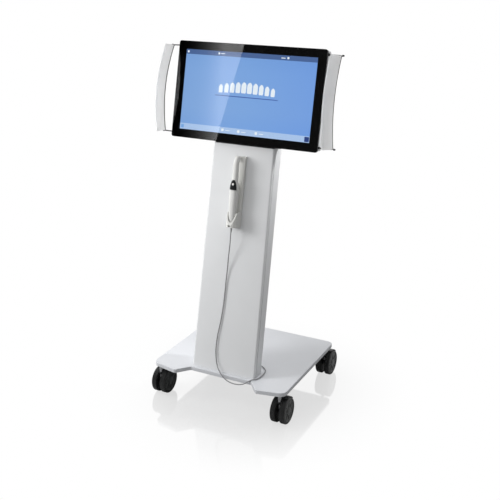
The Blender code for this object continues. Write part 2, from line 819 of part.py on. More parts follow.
def display_mount(axes, front):
    """Square box frame that carries the display panel on the mast; its back follows the mast's lean."""
    near = COVER_WALL + GAP * 2 + SPINE_WALL + GAP
    to_world = Matrix.Translation((0, SCREEN_Y, SCREEN_Z)) @ Matrix.Rotation(-TILT, 4, "X")

    def back_y(z):
        """Depth, in the screen's axes, of the mast's front face at a height up the screen."""
        point = to_world @ Vector((0, 0, z))
        step = to_world.to_3x3() @ Vector((0, 1, 0))
        miss = point.y - face_y(point.z) - near
        return -miss / (step.y - step.z * math.tan(COLUMN_LEAN)) - GAP

    def ring(half, y=None):
        outline = rounded_rectangle(-half, half, -half, half, 0.004, 2)
        return [(x, back_y(z) if y is None else y, z) for x, z in outline]

    outer, inner = MOUNT_W / 2, MOUNT_W / 2 - MOUNT_WALL
    rings = [ring(outer, front), ring(outer), ring(inner), ring(inner, front)]
    solid("display_mount", loft(rings, loop=True), STEEL, axes)


def neck_collar():
    """Dark lid on the column's top that narrows to the housing's bottom, with a hole for the mast."""
    to_world = Matrix.Translation((0, SCREEN_Y, SCREEN_Z)) @ Matrix.Rotation(-TILT, 4, "X")
    base = to_world @ Vector((0, 0, HOUSING_BOTTOM))
    back = to_world.to_3x3() @ Vector((0, 1, 0))
    slope = math.tan(COLUMN_LEAN)
    mast_near = COVER_WALL + GAP * 2 + SPINE_WALL + GAP
    hole = box_path(MAST_W / 2 + GAP, mast_near - GAP, mast_near + MAST_DEPTH + GAP, 0.004, 0.004)
    half, depth = half_width(COLUMN_TOP), depth_at(COLUMN_TOP)
    foot = box_path(half - LID_INSET, LID_INSET, depth - LID_INSET, FRONT_CORNER_R, REAR_CORNER_R)
    head = box_path(half - LID_INSET * 6, LID_INSET * 2, depth - LID_TAPER, 0.005, 0.010)

    rise = back.z / back.y

    def lifted(path, gap, to_housing):
        """The path on the column's top, or carried up the lean to the housing's bottom."""
        if not to_housing:
            return [(x, y, z + gap) for x, y, z in column_ring(path, COLUMN_TOP, slope)]
        ring = []
        for x, inward in path:
            z = (base.z + (face_y(0) + inward - base.y) * rise) / (1 - slope * rise) + gap
            ring.append((x, face_y(z) + inward, z))
        return ring

    rings = [lifted(foot, GAP, False), lifted(head, -GAP, True)]
    rings += [lifted(hole, -GAP, True), lifted(hole, GAP, False)]
    solid("neck_collar", loft(rings, loop=True), DARK)


# Wing handles


def rail_y(z):
    """Depth of the rail behind the glass: it bows forward between its ends."""
    share = min(1.0, abs(z) / RAIL_HALF_H)
    return RAIL_Y - WING_BOW * (1 - share * share)


def rail_x(z):
    """Distance of the rail from the middle: the two rails close in a little towards the top."""
    return HOUSING_W / 2 + RAIL_REACH - RAIL_TAPER * z / RAIL_HALF_H


def rail_path(side):
    """From the housing's side along the top arm, down the bowed back edge and in along the bottom arm."""
    root = HOUSING_W / 2 + GAP
    bend = RAIL_BEND_R
    reach = RAIL_HALF_H - bend
    arms, corners = [], []
    for level in (1, -1):
        corner = []
        for i in range(5):
            a = math.pi / 2 * (1 - i / 4)
            z = level * (reach + bend * math.sin(a))
            corner.append((side * (rail_x(z) - bend + bend * math.cos(a)), rail_y(z), z))
        z = level * RAIL_HALF_H
        arms.append([(side * root, ARM_ROOT_Y, z), (side * (root + ARM_STRAIGHT), ARM_ROOT_Y, z)])
        corners.append(corner)
    spans = 14
    middle = []
    for i in range(1, spans):
        z = reach - 2 * reach * i / spans
        middle.append((side * rail_x(z), rail_y(z), z))
    return arms[0] + corners[0] + middle + corners[1][::-1] + arms[1][::-1]


def tube(name, points, radius, finish, parent=None, resolution=2):
    curve = bpy.data.curves.new(name, "CURVE")
    curve.dimensions = "3D"
    curve.bevel_depth = radius
    curve.bevel_resolution = resolution
    curve.use_fill_caps = True
    spline = curve.splines.new("POLY")
    spline.points.add(len(points) - 1)
    for point, place in zip(spline.points, points):
        point.co = (*place, 1.0)
    return add_object(name, curve, finish, parent)


def wing_section(z):
    """Section of a wing from the rail forward as (outward x, depth y, height): a blade with round edges."""
    back = rail_y(z) - RAIL_R - GAP
    steps = 6
    half = WING_T / 2
    middle = []
    for i in range(steps + 1):
        share = i / steps
        y = back - half - (WING_DEPTH - WING_T) * share
        x = rail_x(z) - WING_FLARE * share + WING_BULGE * 4 * share * (1 - share)
        middle.append((x, y, z - WING_DROP * share))
    outer = [(x + half, y, h) for x, y, h in middle]
    inner = [(x - half, y, h) for x, y, h in reversed(middle)]
    edges = []
    for (x, y, h), way in ((middle[-1], -1), (middle[0], 1)):
        edges.append([(x - way * side * half * 0.6, y + way * half * 0.8, h) for side in (1, -1)])
    return outer + edges[0] + inner + edges[1]


def wing(side, name, axes):
    spans = 14
    reach = RAIL_HALF_H
    rings = []
    for i in range(spans + 1):
        z = -reach + 2 * reach * i / spans
        rings.append([(side * x, y, h) for x, y, h in wing_section(z)])
    solid(f"{name}_wing", loft(rings), WHITE, axes)


def washer(outer, inner, length, sides):
    """A ring about Z with a hole right through it."""
    rings = []
    for radius, z in ((outer, 0), (outer, length), (inner, length), (inner, 0)):
        angles = [2 * math.pi * i / sides for i in range(sides)]
        rings.append([(radius * math.cos(a), radius * math.sin(a), z) for a in angles])
    return loft(rings, loop=True)


def handles(axes):
    for name, side in (("left", -1), ("right", 1)):
        wing(side, name, axes)
        tube(f"{name}_rail", rail_path(side), RAIL_R, RAIL, axes)
        outward = Matrix.Rotation(side * math.pi / 2, 4, "Y")
        for level, where in ((1, "top"), (-1, "bottom")):
            ring = moved(washer(FOOT_R, RAIL_R + GAP, FOOT_L, 16), outward)
            foot = solid(f"{name}_{where}_foot", ring, DARK, axes)
            foot.location = (side * (HOUSING_W / 2 + GAP), ARM_ROOT_Y, level * RAIL_HALF_H)
            profile = [(0, 0), (KNOB_R, 0), (KNOB_R, KNOB_L - 0.001), (KNOB_R - 0.001, KNOB_L), (0, KNOB_L)]
            cap = solid(f"{name}_{where}_knob", moved(turned(profile, 14), outward), RAIL, axes)
            z = level * RAIL_HALF_H
            cap.location = (side * (rail_x(z) + RAIL_R + GAP), rail_y(z), z)


# Wand holder and wand, in the column face's own axes: X right, Y into the column, Z up the face


def face_axes():
    return add_empty("face_axes", (0, COLUMN_FOOT_Y, PLATE_TOP), COLUMN_LEAN)


def wand_line(up):
    """Distance out from the face of the wand's axis at a height up the face."""
    share = (up - WAND_FOOT_UP) / (WAND_BEND_UP - WAND_FOOT_UP)
    return WAND_FOOT_OUT + (WAND_NECK_OUT - WAND_FOOT_OUT) * share


def cradle_plan(inset, back):
    """Plan of the cradle's cup: straight at the back, rounded like a trough at the front."""
    half = HOLDER_W / 2 - inset
    front = -CRADLE_REACH + inset
    corners = [(half, back, 0), (-half, back, 0), (-half, front, half * 0.9), (half, front, half * 0.9)]
    outline = filleted(corners, 6)
    return [(HOLDER_X + x, y) for x, y in outline]


def holder(axes):
    """One moulding: back strip, one-sided hook for the head, and a cup whose rim slants down to the front."""
    back = CROWN + GAP
    strip = back + HOLDER_BACK_T
    half = HOLDER_W / 2
    hook_low = HOLDER_TOP - HOOK_H
    cup_top = HOLDER_BOTTOM + CRADLE_H
    side = [
        (back, HOLDER_BOTTOM, 0.001),
        (back, HOLDER_TOP, 0.002),
        (HOOK_REACH, HOLDER_TOP, 0.014),
        (HOOK_REACH, hook_low, 0.002),
        (strip, hook_low, 0.003),
        (strip, HOLDER_BOTTOM, 0.001),
    ]
    outline = filleted(side, 4)
    rings = [[(x, -out, up) for out, up in outline] for x in (HOLDER_X - half, HOLDER_X + half)]
    body = solid("wand_holder", loft(rings), WHITE, axes)
    cup = solid("cradle_cup", prism(cradle_plan(0, -back - GAP), HOLDER_BOTTOM, cup_top), None, axes)
    far = CRADLE_REACH * 2
    knee = cup_top - CRADLE_KNEE_DROP
    lip = HOLDER_BOTTOM + CRADLE_FRONT_H
    slope = [(strip, cup_top), (CRADLE_KNEE_REACH, knee), (CRADLE_REACH, lip)]
    slope += [(far, lip), (far, cup_top * 2), (strip, cup_top * 2)]
    wide = half * 2
    rim = [[(HOLDER_X + x, -out, up) for out, up in slope] for x in (-wide, wide)]
    rim_cutter = solid("cradle_rim", loft(rim), None, axes)
    add_union(body, cup)
    cut(body, rim_cutter)
    add_bevel(body, 0.0010)
    pocket = prism(cradle_plan(CRADLE_WALL, -strip), HOLDER_BOTTOM + CRADLE_FLOOR, hook_low - GAP)
    hook_edge = HOLDER_X + half - HOOK_ARM_W
    side_cut = block((HOLDER_X - wide, -far, hook_low - 0.01), (hook_edge, -strip, HOLDER_TOP + 0.01))
    cord = CORD_SLOT_W / 2
    low = (WAND_X - cord, -far, HOLDER_BOTTOM - CRADLE_FLOOR)
    notch = block(low, (WAND_X + cord, -WAND_FOOT_OUT + cord, HOLDER_BOTTOM + CRADLE_FLOOR * 3))
    cutters = [
        solid("cradle_pocket", pocket, None, axes),
        solid("hook_opening", side_cut, None, axes),
        solid("cord_notch", notch, None, axes),
    ]
    cut(body, *cutters)


def wand_width(up):
    """Width and depth of the wand's section at a height up the face."""
    body = WAND_BODY_L
    marks = [
        (WAND_FOOT_UP, WAND_BODY_W * 0.66, WAND_BODY_D * 0.66),
        (WAND_FOOT_UP + body * 0.05, WAND_BODY_W * 0.76, WAND_BODY_D * 0.76),
        (WAND_FOOT_UP + body * 0.35, WAND_BODY_W * 0.88, WAND_BODY_D * 0.89),
        (WAND_FOOT_UP + body * 0.86, WAND_BODY_W, WAND_BODY_D),
        (TRIM_BOTTOM + TRIM_H * 0.2, WAND_BODY_W * 0.98, WAND_BODY_D * 0.97),
        (TRIM_BOTTOM + TRIM_H * 1.1, WAND_NECK_W, WAND_NECK_W),
        (WAND_BEND_UP, WAND_HEAD_W, WAND_HEAD_W),
    ]
    for (low, w0, d0), (high, w1, d1) in zip(marks, marks[1:]):
        if up <= high:
            share = max(0.0, (up - low) / (high - low))
            ease = share * share * (3 - 2 * share)
            return w0 + (w1 - w0) * ease, d0 + (d1 - d0) * ease
    return marks[-1][1], marks[-1][2]


def wand_point(up, angle, offset=0.0):
    """A point on the wand's skin; angle 0 is the front, away from the column."""
    width, depth = wand_width(up)
    power = 0.88
    c, s = math.cos(angle), math.sin(angle)
    x = (width / 2 + offset) * math.copysign(abs(s) ** power, s)
    out = (depth / 2 + offset) * math.copysign(abs(c) ** power, c)
    return (WAND_X + x, -(wand_line(up) + out), up)


def wand_ring(up, shrink=1.0):
    ring = []
    centre = Vector((WAND_X, -wand_line(up), up))
    for i in range(WAND_SIDES):
        point = Vector(wand_point(up, 2 * math.pi * (i + 0.5) / WAND_SIDES))
        ring.append(centre + (point - centre) * shrink)
    return ring


def head_ring(turn, width, shrink=1.0, push=0.0):
    """A ring round the bent head: turn is the angle from the neck's line towards the column."""
    centre_out, centre_up = head_centre()
    radius = WAND_BEND_R
    out = centre_out + radius * math.cos(turn) - push * math.sin(turn)
    up = centre_up + radius * math.sin(turn) + push * math.cos(turn)
    middle = Vector((WAND_X, -out, up))
    across = Vector((1, 0, 0))
    outward = Vector((0, -math.cos(turn), math.sin(turn)))
    ring = []
    for i in range(WAND_SIDES):
        a = 2 * math.pi * (i + 0.5) / WAND_SIDES
        reach = width / 2 * shrink
        ring.append(middle + across * reach * math.sin(a) + outward * reach * math.cos(a))
    return ring


def wand(axes):
    seam = WAND_SEAM_UP
    body = WAND_BODY_L
    levels = [WAND_FOOT_UP + body * share for share in (0.02, 0.07, 0.20, 0.42, 0.64, 0.86, 0.993)]
    ends = [wand_ring(WAND_FOOT_UP, FOOT_SHRINK)], [wand_ring(seam, SEAM_SHRINK)]
    rings = ends[0] + [wand_ring(up) for up in levels] + ends[1]
    solid("wand_body", loft(rings), WHITE, axes)

    start = seam + GAP
    levels = [seam + WAND_NECK_L * share for share in (0.014, 0.11, 0.20, 0.28, 0.37, 0.49, 0.71, 1.0)]
    rings = [wand_ring(start, SEAM_SHRINK)] + [wand_ring(up) for up in levels]
    for degrees in (15, 30, 45, 60, 75):
        rings.append(head_ring(math.radians(degrees), WAND_HEAD_W))
    last = math.radians(80)
    rings.append(head_ring(last, WAND_HEAD_W * 0.96))
    rings.append(head_ring(last, WAND_HEAD_W * 0.84, push=0.0012))
    neck = solid("wand_neck", loft(rings), WHITE, axes)

    trim_and_button(axes, neck)
    tip_window(axes, neck)

    tip = WAND_FOOT_UP - GAP - RELIEF_L
    profile = [
        (0, 0),
        (RELIEF_TIP_R - 0.0005, 0),
        (RELIEF_TIP_R, 0.0005),
        (RELIEF_TIP_R + 0.0006, RELIEF_L * 0.55),
        (RELIEF_TOP_R, RELIEF_L * 0.85),
        (RELIEF_TOP_R, RELIEF_L),
        (0, RELIEF_L),
    ]
    relief = solid("wand_strain_relief", turned(profile, 16), RUBBER, axes)
    relief.location = (WAND_X, -wand_line(WAND_FOOT_UP), tip)


def trim_half_angle(share):
    """Half of the trim's angular width: full at its straight foot, closing in an arch at its top."""
    return TRIM_ANGLE * math.sqrt(max(0.0, 1 - (share * 0.985) ** 2.6))


def trim_and_button(axes, neck):
    rows, columns = 9, 8
    bm = bmesh.new()
    layers = []
    for offset in (GAP, GAP + TRIM_T):
        grid = []
        for r in range(rows + 1):
            share = r / rows
            up = TRIM_BOTTOM + TRIM_H * share
            half = trim_half_angle(share)
            row = []
            for c in range(columns + 1):
                row.append(bm.verts.new(wand_point(up, half * (2 * c / columns - 1), offset)))
            grid.append(row)
        layers.append(grid)
    low, high = layers
    for r in range(rows):
        for c in range(columns):
            bm.faces.new((low[r][c], low[r + 1][c], low[r + 1][c + 1], low[r][c + 1]))
            bm.faces.new((high[r][c], high[r][c + 1], high[r + 1][c + 1], high[r + 1][c]))
        bm.faces.new((low[r][0], high[r][0], high[r + 1][0], low[r + 1][0]))
        bm.faces.new((low[r][columns], low[r + 1][columns], high[r + 1][columns], high[r][columns]))
    for c in range(columns):
        bm.faces.new((low[0][c], low[0][c + 1], high[0][c + 1], high[0][c]))
        bm.faces.new((low[rows][c], high[rows][c], high[rows][c + 1], low[rows][c + 1]))
    trim = solid("button_trim", bm, DARK, axes)

    front = -wand_point(BUTTON_UP, 0.0, GAP + TRIM_T)[1]
    place = Matrix.Translation((WAND_X, -front, BUTTON_UP)) @ Matrix.Rotation(math.pi / 2, 4, "X")
    radius = BUTTON_R + LOOSE_GAP / 3
    floor = BUTTON_H - BUTTON_PROUD + BUTTON_TRAVEL + GAP
    well = turned([(0, -floor), (radius, -floor), (radius, 0.01), (0, 0.01)], 20)
    cutter = solid("button_well", moved(well, place), None, axes)
    cut(trim, cutter)
    cut(neck, cutter)
    low, top = BUTTON_PROUD - BUTTON_H, BUTTON_PROUD
    profile = [(0, low), (BUTTON_R, low), (BUTTON_R, top - 0.0012)]
    profile += [(BUTTON_R * 0.86, top - 0.0004), (BUTTON_R * 0.5, top), (0, top + 0.0001)]
    solid("wand_button", moved(turned(profile, 20), place), WHITE, axes)


def head_centre():
    """Distance out and height of the point that the head bends round, and the neck's lean."""
    lean = math.atan2(WAND_NECK_OUT - WAND_FOOT_OUT, WAND_BEND_UP - WAND_FOOT_UP)
    out = wand_line(WAND_BEND_UP) - WAND_BEND_R * math.cos(lean)
    return out, WAND_BEND_UP + WAND_BEND_R * math.sin(lean)


def tip_window(axes, neck):
    """Small dark status lens let into the head's top, where it curves over towards the hook."""
    turn = WINDOW_TURN
    middle_out, middle_up = head_centre()
    reach = WAND_BEND_R + WAND_HEAD_W / 2
    out = middle_out + reach * math.cos(turn)
    up = middle_up + reach * math.sin(turn)
    place = Matrix.Translation((WAND_X, -out, up)) @ Matrix.Rotation(math.pi / 2 - turn, 4, "X")
    half_l, half_w = WINDOW_L / 2, WINDOW_W / 2
    sink = WINDOW_T + 0.0012
    outline = rounded_rectangle(-half_w, half_w, -half_l, half_l, 0.0028, 4)
    larger = rounded_rectangle(-half_w - GAP, half_w + GAP, -half_l - GAP, half_l + GAP, 0.0028 + GAP, 4)
    recess = solid("window_recess", moved(prism(larger, -sink - GAP, 0.01), place), None, axes)
    cut(neck, recess)
    solid("tip_window", moved(prism(outline, -sink, -sink + WINDOW_T), place), GLASS, axes)


# Cord


def smooth_curve(route, count):
    """Evenly spaced points on a Catmull-Rom curve through the route's points."""
    points = [Vector(p) for p in route]
    points = [points[0] * 2 - points[1]] + points + [points[-1] * 2 - points[-2]]
    fine = []
    for a, b, c, d in zip(points, points[1:], points[2:], points[3:]):
        for i in range(24):
            t = i / 24
            square = (2 * a - 5 * b + 4 * c - d) * t**2
            cube = (3 * b - a - 3 * c + d) * t**3
            fine.append(0.5 * (2 * b + (c - a) * t + square + cube))
    fine.append(points[-2])
    lengths = [0.0]
    for a, b in zip(fine, fine[1:]):
        lengths.append(lengths[-1] + (b - a).length)
    result, k = [], 0
    for i in range(count):
        goal = lengths[-1] * i / (count - 1)
        while k < len(fine) - 2 and lengths[k + 1] < goal:
            k += 1
        span = max(lengths[k + 1] - lengths[k], 1e-9)
        result.append(fine[k].lerp(fine[k + 1], (goal - lengths[k]) / span))
    return result


def cord():
    """The wand's lead: down the column's face, in a bow over the notch, round the foot and into the gland."""
    face = Matrix.Translation((0, COLUMN_FOOT_Y, PLATE_TOP)) @ Matrix.Rotation(-COLUMN_LEAN, 4, "X")
    tip = WAND_FOOT_UP - GAP * 2 - RELIEF_L
    start = face @ Vector((WAND_X, -wand_line(WAND_FOOT_UP), tip))
    gland = rear_frame(GLAND_Z) @ Matrix.Translation((-GLAND_X, 0, GLAND_L + GAP))
    end = gland.translation
    out = gland.to_3x3() @ Vector((0, 0, 1))
    down = face.to_3x3() @ Vector((0, 0, -1))
    route = [
        start,
        start + down * 0.008,
        start + down * 0.016,
        (-0.0055, -0.1412, 0.636),
        (-0.0105, -0.1420, 0.590),
        (-0.0150, -0.1426, 0.540),
        (-0.0180, -0.1500, 0.480),
        (-0.0197, -0.1645, 0.400),
        (-0.0255, -0.1785, 0.327),
        (-0.0330, -0.1893, 0.271),
        (-0.0345, -0.1995, 0.219),
        (-0.0275, -0.2085, 0.180),
        (-0.0150, -0.2200, 0.158),
        (0.0040, -0.2340, 0.1445),
        (0.0240, -0.2395, 0.1300),
        (0.0480, -0.2400, 0.1195),
        (0.0760, -0.2372, 0.1165),
        (0.1010, -0.2345, 0.1230),
        (0.1180, -0.2300, 0.1345),
        (0.1310, -0.2215, 0.1416),
        (0.1430, -0.2050, 0.1396),
        (0.1485, -0.1800, 0.1394),
        (0.1480, -0.1500, 0.1394),
        (0.1400, -0.1240, 0.1394),
        (0.1210, -0.1050, 0.1394),
        (0.0980, -0.0940, 0.1394),
        (0.0740, -0.0880, 0.1410),
        (0.0540, -0.0860, 0.1500),
        end + out * 0.016,
        end + out * 0.008,
        end,
    ]
    tube("wand_cord", smooth_curve(route, CORD_POINTS), CORD_D / 2, RUBBER)


def main():
    clear_scene()
    base_plate()
    castors()
    column()
    axes = screen_parts()
    neck_collar()
    handles(axes)
    face = face_axes()
    holder(face)
    wand(face)
    cord()
    bpy.context.view_layer.update()


main()
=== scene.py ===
"""Looks of the intraoral scanner cart: camera, studio, materials and the finer pieces over its solids."""

import json
import math

import bmesh
import bpy
from mathutils import Matrix, Vector


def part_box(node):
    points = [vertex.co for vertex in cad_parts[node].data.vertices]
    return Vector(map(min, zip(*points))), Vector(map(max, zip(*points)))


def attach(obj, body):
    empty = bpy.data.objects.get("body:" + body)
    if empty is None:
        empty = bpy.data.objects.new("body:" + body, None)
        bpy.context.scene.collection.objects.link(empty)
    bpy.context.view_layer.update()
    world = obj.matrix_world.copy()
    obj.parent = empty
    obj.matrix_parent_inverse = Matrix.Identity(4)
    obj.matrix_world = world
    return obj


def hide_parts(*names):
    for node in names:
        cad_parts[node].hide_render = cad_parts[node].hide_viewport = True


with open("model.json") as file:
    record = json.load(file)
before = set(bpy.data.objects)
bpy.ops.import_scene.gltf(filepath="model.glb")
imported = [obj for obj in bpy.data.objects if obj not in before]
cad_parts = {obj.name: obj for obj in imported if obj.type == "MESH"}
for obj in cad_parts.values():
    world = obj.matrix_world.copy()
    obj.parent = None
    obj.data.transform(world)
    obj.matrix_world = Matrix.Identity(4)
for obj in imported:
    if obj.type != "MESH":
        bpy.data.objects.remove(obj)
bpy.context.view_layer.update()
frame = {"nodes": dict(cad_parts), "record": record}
nodes = frame["nodes"]

# Camera: place, viewing angle and lens worked out from the photograph
CAMERA_AT = (1.4059, -2.8129, 1.6774)
CAMERA_AZIMUTH = math.radians(26.4638)
CAMERA_ELEVATION = math.radians(16.8149)
CAMERA_ROLL = math.radians(0.5908)
CAMERA_LENS = 61.837
CAMERA_SHIFT = -0.08
SENSOR_W = 36.0

# Gap between neighbours, and the angles past which a shaded edge stays sharp
GAP = 0.0003
SHARP = math.radians(35)
SHARP_PLATE = math.radians(10)

# Places taken from the solids
COLUMN_LEAN = math.radians(10.68)
COLUMN_FOOT = (0.0, -0.2071, 0.137)
SCREEN_TILT = math.radians(11.74)
SCREEN_AT = (0.0, -0.0308, 1.1751)

# Screen: lit area, glass and what lies behind it
SCREEN_W = 0.5314
SCREEN_H = 0.2989
BORDER_SIDE = 0.0333
BORDER_TOP = 0.0308
BORDER_BOTTOM = 0.0318
GLASS_T = 0.003
GLASS_CORNER_R = 0.0085
GLASS_BEVEL = 0.0002
WINDOW_CORNER_R = 0.0006
COVER_T = 0.0006
PANEL_BACK = 0.0115
LIT_T = 0.0008
LIT_INSET = 0.00005
INK_T = 0.00005

# Picture on the screen
TOP_BAR_H = 0.0175
BOTTOM_BAR_H = 0.0225
BAR_INSET = 0.0002
BAR_CORNER_R = 0.0004
BAR_LAYER = 0.1
MARK_LAYER = 1.2
PICTURE_Z = -0.0115
TRAY_BUTTON_X = (-0.0830, -0.0170, 0.0550)
DIVIDER_X = (-0.024, 0.030)
TEETH = 10
TEETH_REACH = 0.1180
TOOTH_W = 0.0205
TOOTH_W_LOSS = 0.0050
TOOTH_H = 0.0400
TOOTH_H_LOSS = 0.0125
TOOTH_ROOT = 0.0085
TOOTH_ROOT_RISE = 0.0045
TOOTH_WAVE = 0.0016

# Castors
WEB_T = 0.014
WEB_INSET = 0.0004
FENDER_START = math.radians(36)
FENDER_END = math.radians(101)
FENDER_IN_R = 0.052
FENDER_OUT_R = 0.0548
FENDER_HALF_W = 0.0254
FENDER_CORNER_R = 0.0012
FENDER_STEPS = 40
FENDER_TAPER_STEPS = 4
FENDER_END_SHARE = 0.86
TRAIL = 0.023
BOSS_TOP = 0.0935
BOSS_R = 0.0092
AXLE_BOSS_R = 0.012
STEM_RING_H = 0.0046
STEM_RING_IN_R = 0.0045
STEM_RING_TOP_R = 0.0066
TYRE_SHOULDER = 0.0045
TYRE_FACE_W = 0.0085
HUB_SEAT = 0.0030
HUB_SINK = 0.0029
HUB_FACE = 0.0002
HUB_RIM_IN = 0.0098
HUB_RIM_W = 0.0024
RIBS = 8
RIB_T = 0.0022
RIB_HALF_W = 0.0013

# Wing handles
RAIL_X = 0.3433
RAIL_TAPER = 0.0025
RAIL_Y = 0.0294
RAIL_R = 0.00225
RAIL_HALF_H = 0.1637
RAIL_BEND_R = 0.003
RAIL_ROOT = 0.2953
ARM_ROOT_Y = 0.020
ARM_STRAIGHT = 0.008
WING_BOW = 0.033
WING_DEPTH = 0.0758
WING_FLARE = 0.0106
WING_DROP = 0.004
WING_T = 0.0035
WING_BULGE = 0.0030
WING_BEVEL = 0.0004

# Wand, measured on the column's leaning face
WAND_X = -0.0030
WAND_FOOT_OUT = 0.0335
WAND_NECK_OUT = 0.0395
WAND_FOOT_UP = 0.5658
WAND_SEAM_UP = WAND_FOOT_UP + 0.1345
WAND_BEND_UP = WAND_SEAM_UP + 0.097
WAND_BEND_R = 0.020
WAND_BODY_W = 0.0325
WAND_BODY_D = 0.0320
WAND_NECK_W = 0.0225
WAND_HEAD_W = 0.0205
WAND_SIDES = 64
WAND_STEPS = 30
WAND_SQUARENESS = 0.88
HEAD_TURN_STEP = 6
HEAD_TURN_END = 80
TRIM_BOTTOM = WAND_SEAM_UP + 0.0025
TRIM_H = 0.037
TRIM_T = 0.0010
TRIM_SINK = 0.0004
TRIM_EDGE = 0.0008
TRIM_ANGLE = math.radians(54)
TRIM_ARCH_POWER = 2.6
BUTTON_UP = TRIM_BOTTOM + 0.021
BUTTON_R = 0.0045
BUTTON_ROOT = -0.0030
BUTTON_ROUND = 0.0014
BUTTON_RIM_UP = 0.0013
SURROUND_ROOT = -0.0018
SURROUND_GAP = 0.0004
SURROUND_W = 0.0014

# Strain relief on the wand's lower end
RELIEF_L = 0.022
RELIEF_RIBS = 6
RELIEF_PITCH = 0.0026
RELIEF_RIB_W = 0.0015
RELIEF_GROOVE = 0.0006
RELIEF_COLLAR_R = 0.0042

# Back of the column and of the screen
FRAME_T = 0.009
HOUSING_DEPTH = 0.0685
HOUSING_BACK = GLASS_T + FRAME_T + HOUSING_DEPTH + GAP * 2
HOUSING_SCREW_X = 0.205
HOUSING_SCREW_Z = 0.088
SCREW_R = 0.0034
PIN_PLACES = ((-0.0070, -0.0030), (0.0070, -0.0030), (0.0, 0.0035))
PIN_HALF_W = 0.0011
PIN_HALF_H = 0.0020
PIN_L = 0.0085
PIN_ROOT = 0.004

# Cord: the route between the wand's strain relief and the gland at the column's rear
CORD_D = 0.004
CORD_POINTS = 200
CORD_LEAD = 0.008
GLAND_OUT = (0.0, 0.98116, -0.19321)
CORD_ROUTE = [
    (-0.0055, -0.1412, 0.636),
    (-0.0105, -0.1420, 0.590),
    (-0.0150, -0.1426, 0.540),
    (-0.0180, -0.1500, 0.480),
    (-0.0197, -0.1645, 0.400),
    (-0.0255, -0.1785, 0.327),
    (-0.0330, -0.1893, 0.271),
    (-0.0345, -0.1995, 0.219),
    (-0.0275, -0.2085, 0.180),
    (-0.0150, -0.2200, 0.158),
    (0.0040, -0.2340, 0.1445),
    (0.0240, -0.2395, 0.1300),
    (0.0480, -0.2400, 0.1195),
    (0.0760, -0.2372, 0.1165),
    (0.1010, -0.2345, 0.1230),
    (0.1180, -0.2300, 0.1345),
    (0.1310, -0.2215, 0.1416),
    (0.1430, -0.2050, 0.1396),
    (0.1485, -0.1800, 0.1394),
    (0.1480, -0.1500, 0.1394),
    (0.1400, -0.1240, 0.1394),
    (0.1210, -0.1050, 0.1394),
    (0.0980, -0.0940, 0.1394),
    (0.0740, -0.0880, 0.1410),
    (0.0540, -0.0860, 0.1500),
]

# Studio: floor, lamps, the room that lights the cart and the room that mirrors see
FLOOR_REACH = 8.0
FLOOR_ROUGHNESS = 0.06
FLOOR_MIRROR = 2.45
FLOOR_TONE = 0.38
FLOOR_TONE_SEEN = 0.12
FLOOR_GLOW = 0.66
FLOOR_FADE_START = 0.28
FLOOR_FADE_END = 0.70
KEY_AT = (-1.0, -0.74, 1.14)
KEY_AIM = (0, -0.1, 0.45)
KEY_SIZE = 0.5
KEY_POWER = 9.2
RIM_AT = (0.485, 0.28, 1.47)
RIM_AIM = (0.095, -0.02, 0.84)
RIM_SIZE = 0.06
RIM_POWER = 0.45
RIM_BEAM = math.radians(50)
ROOM_LEFT = 1.30
ROOM_RIGHT = 0.12
MIRROR_FRONT = 0.05
MIRROR_BACK = 1.0
MIRROR_FRONT_Y = -0.25
MIRROR_BACK_Y = 0.15

# Glare on the glass: its edge at the screen's top and bottom, and how it falls off to the left
GLARE_TOP_X = -0.033
GLARE_BOTTOM_X = -0.099
GLARE_END_X = -SCREEN_W * 0.56
GLARE_POWER = 3.4
GLARE_STRENGTH = 1.7
CARD_REACH = 1.8


def camera():
    az, el, roll = CAMERA_AZIMUTH, CAMERA_ELEVATION, CAMERA_ROLL
    back = Vector((math.sin(az) * math.cos(el), -math.cos(az) * math.cos(el), math.sin(el)))
    right = Vector((math.cos(az), math.sin(az), 0.0))
    up = back.cross(right)
    rolled_right = right * math.cos(roll) + up * math.sin(roll)
    rolled_up = up * math.cos(roll) - right * math.sin(roll)
    data = bpy.data.cameras.new("photo_camera")
    data.lens = CAMERA_LENS
    data.sensor_width = SENSOR_W
    data.shift_y = CAMERA_SHIFT
    made = bpy.data.objects.new("photo_camera", data)
    bpy.context.scene.collection.objects.link(made)
    matrix = Matrix((rolled_right, rolled_up, back)).transposed().to_4x4()
    matrix.translation = Vector(CAMERA_AT)
    made.matrix_world = matrix
    bpy.context.scene.camera = made


def screen_matrix():
    """The tilted screen: X right, Y behind the glass, Z up the screen."""
    return Matrix.Translation(SCREEN_AT) @ Matrix.Rotation(-SCREEN_TILT, 4, "X")


def face_matrix():
    """The column's leaning face: X right, Y into the column, Z up the face."""
    return Matrix.Translation(COLUMN_FOOT) @ Matrix.Rotation(-COLUMN_LEAN, 4, "X")


# Materials


def map_range(tree, source, low, high, out_low, out_high):
    """Maps a value from one span to another and keeps it inside."""
    node = tree.nodes.new("ShaderNodeMapRange")
    limits = {"From Min": low, "From Max": high, "To Min": out_low, "To Max": out_high}
    for name, value in limits.items():
        node.inputs[name].default_value = value
    tree.links.new(source, node.inputs["Value"])
    return node


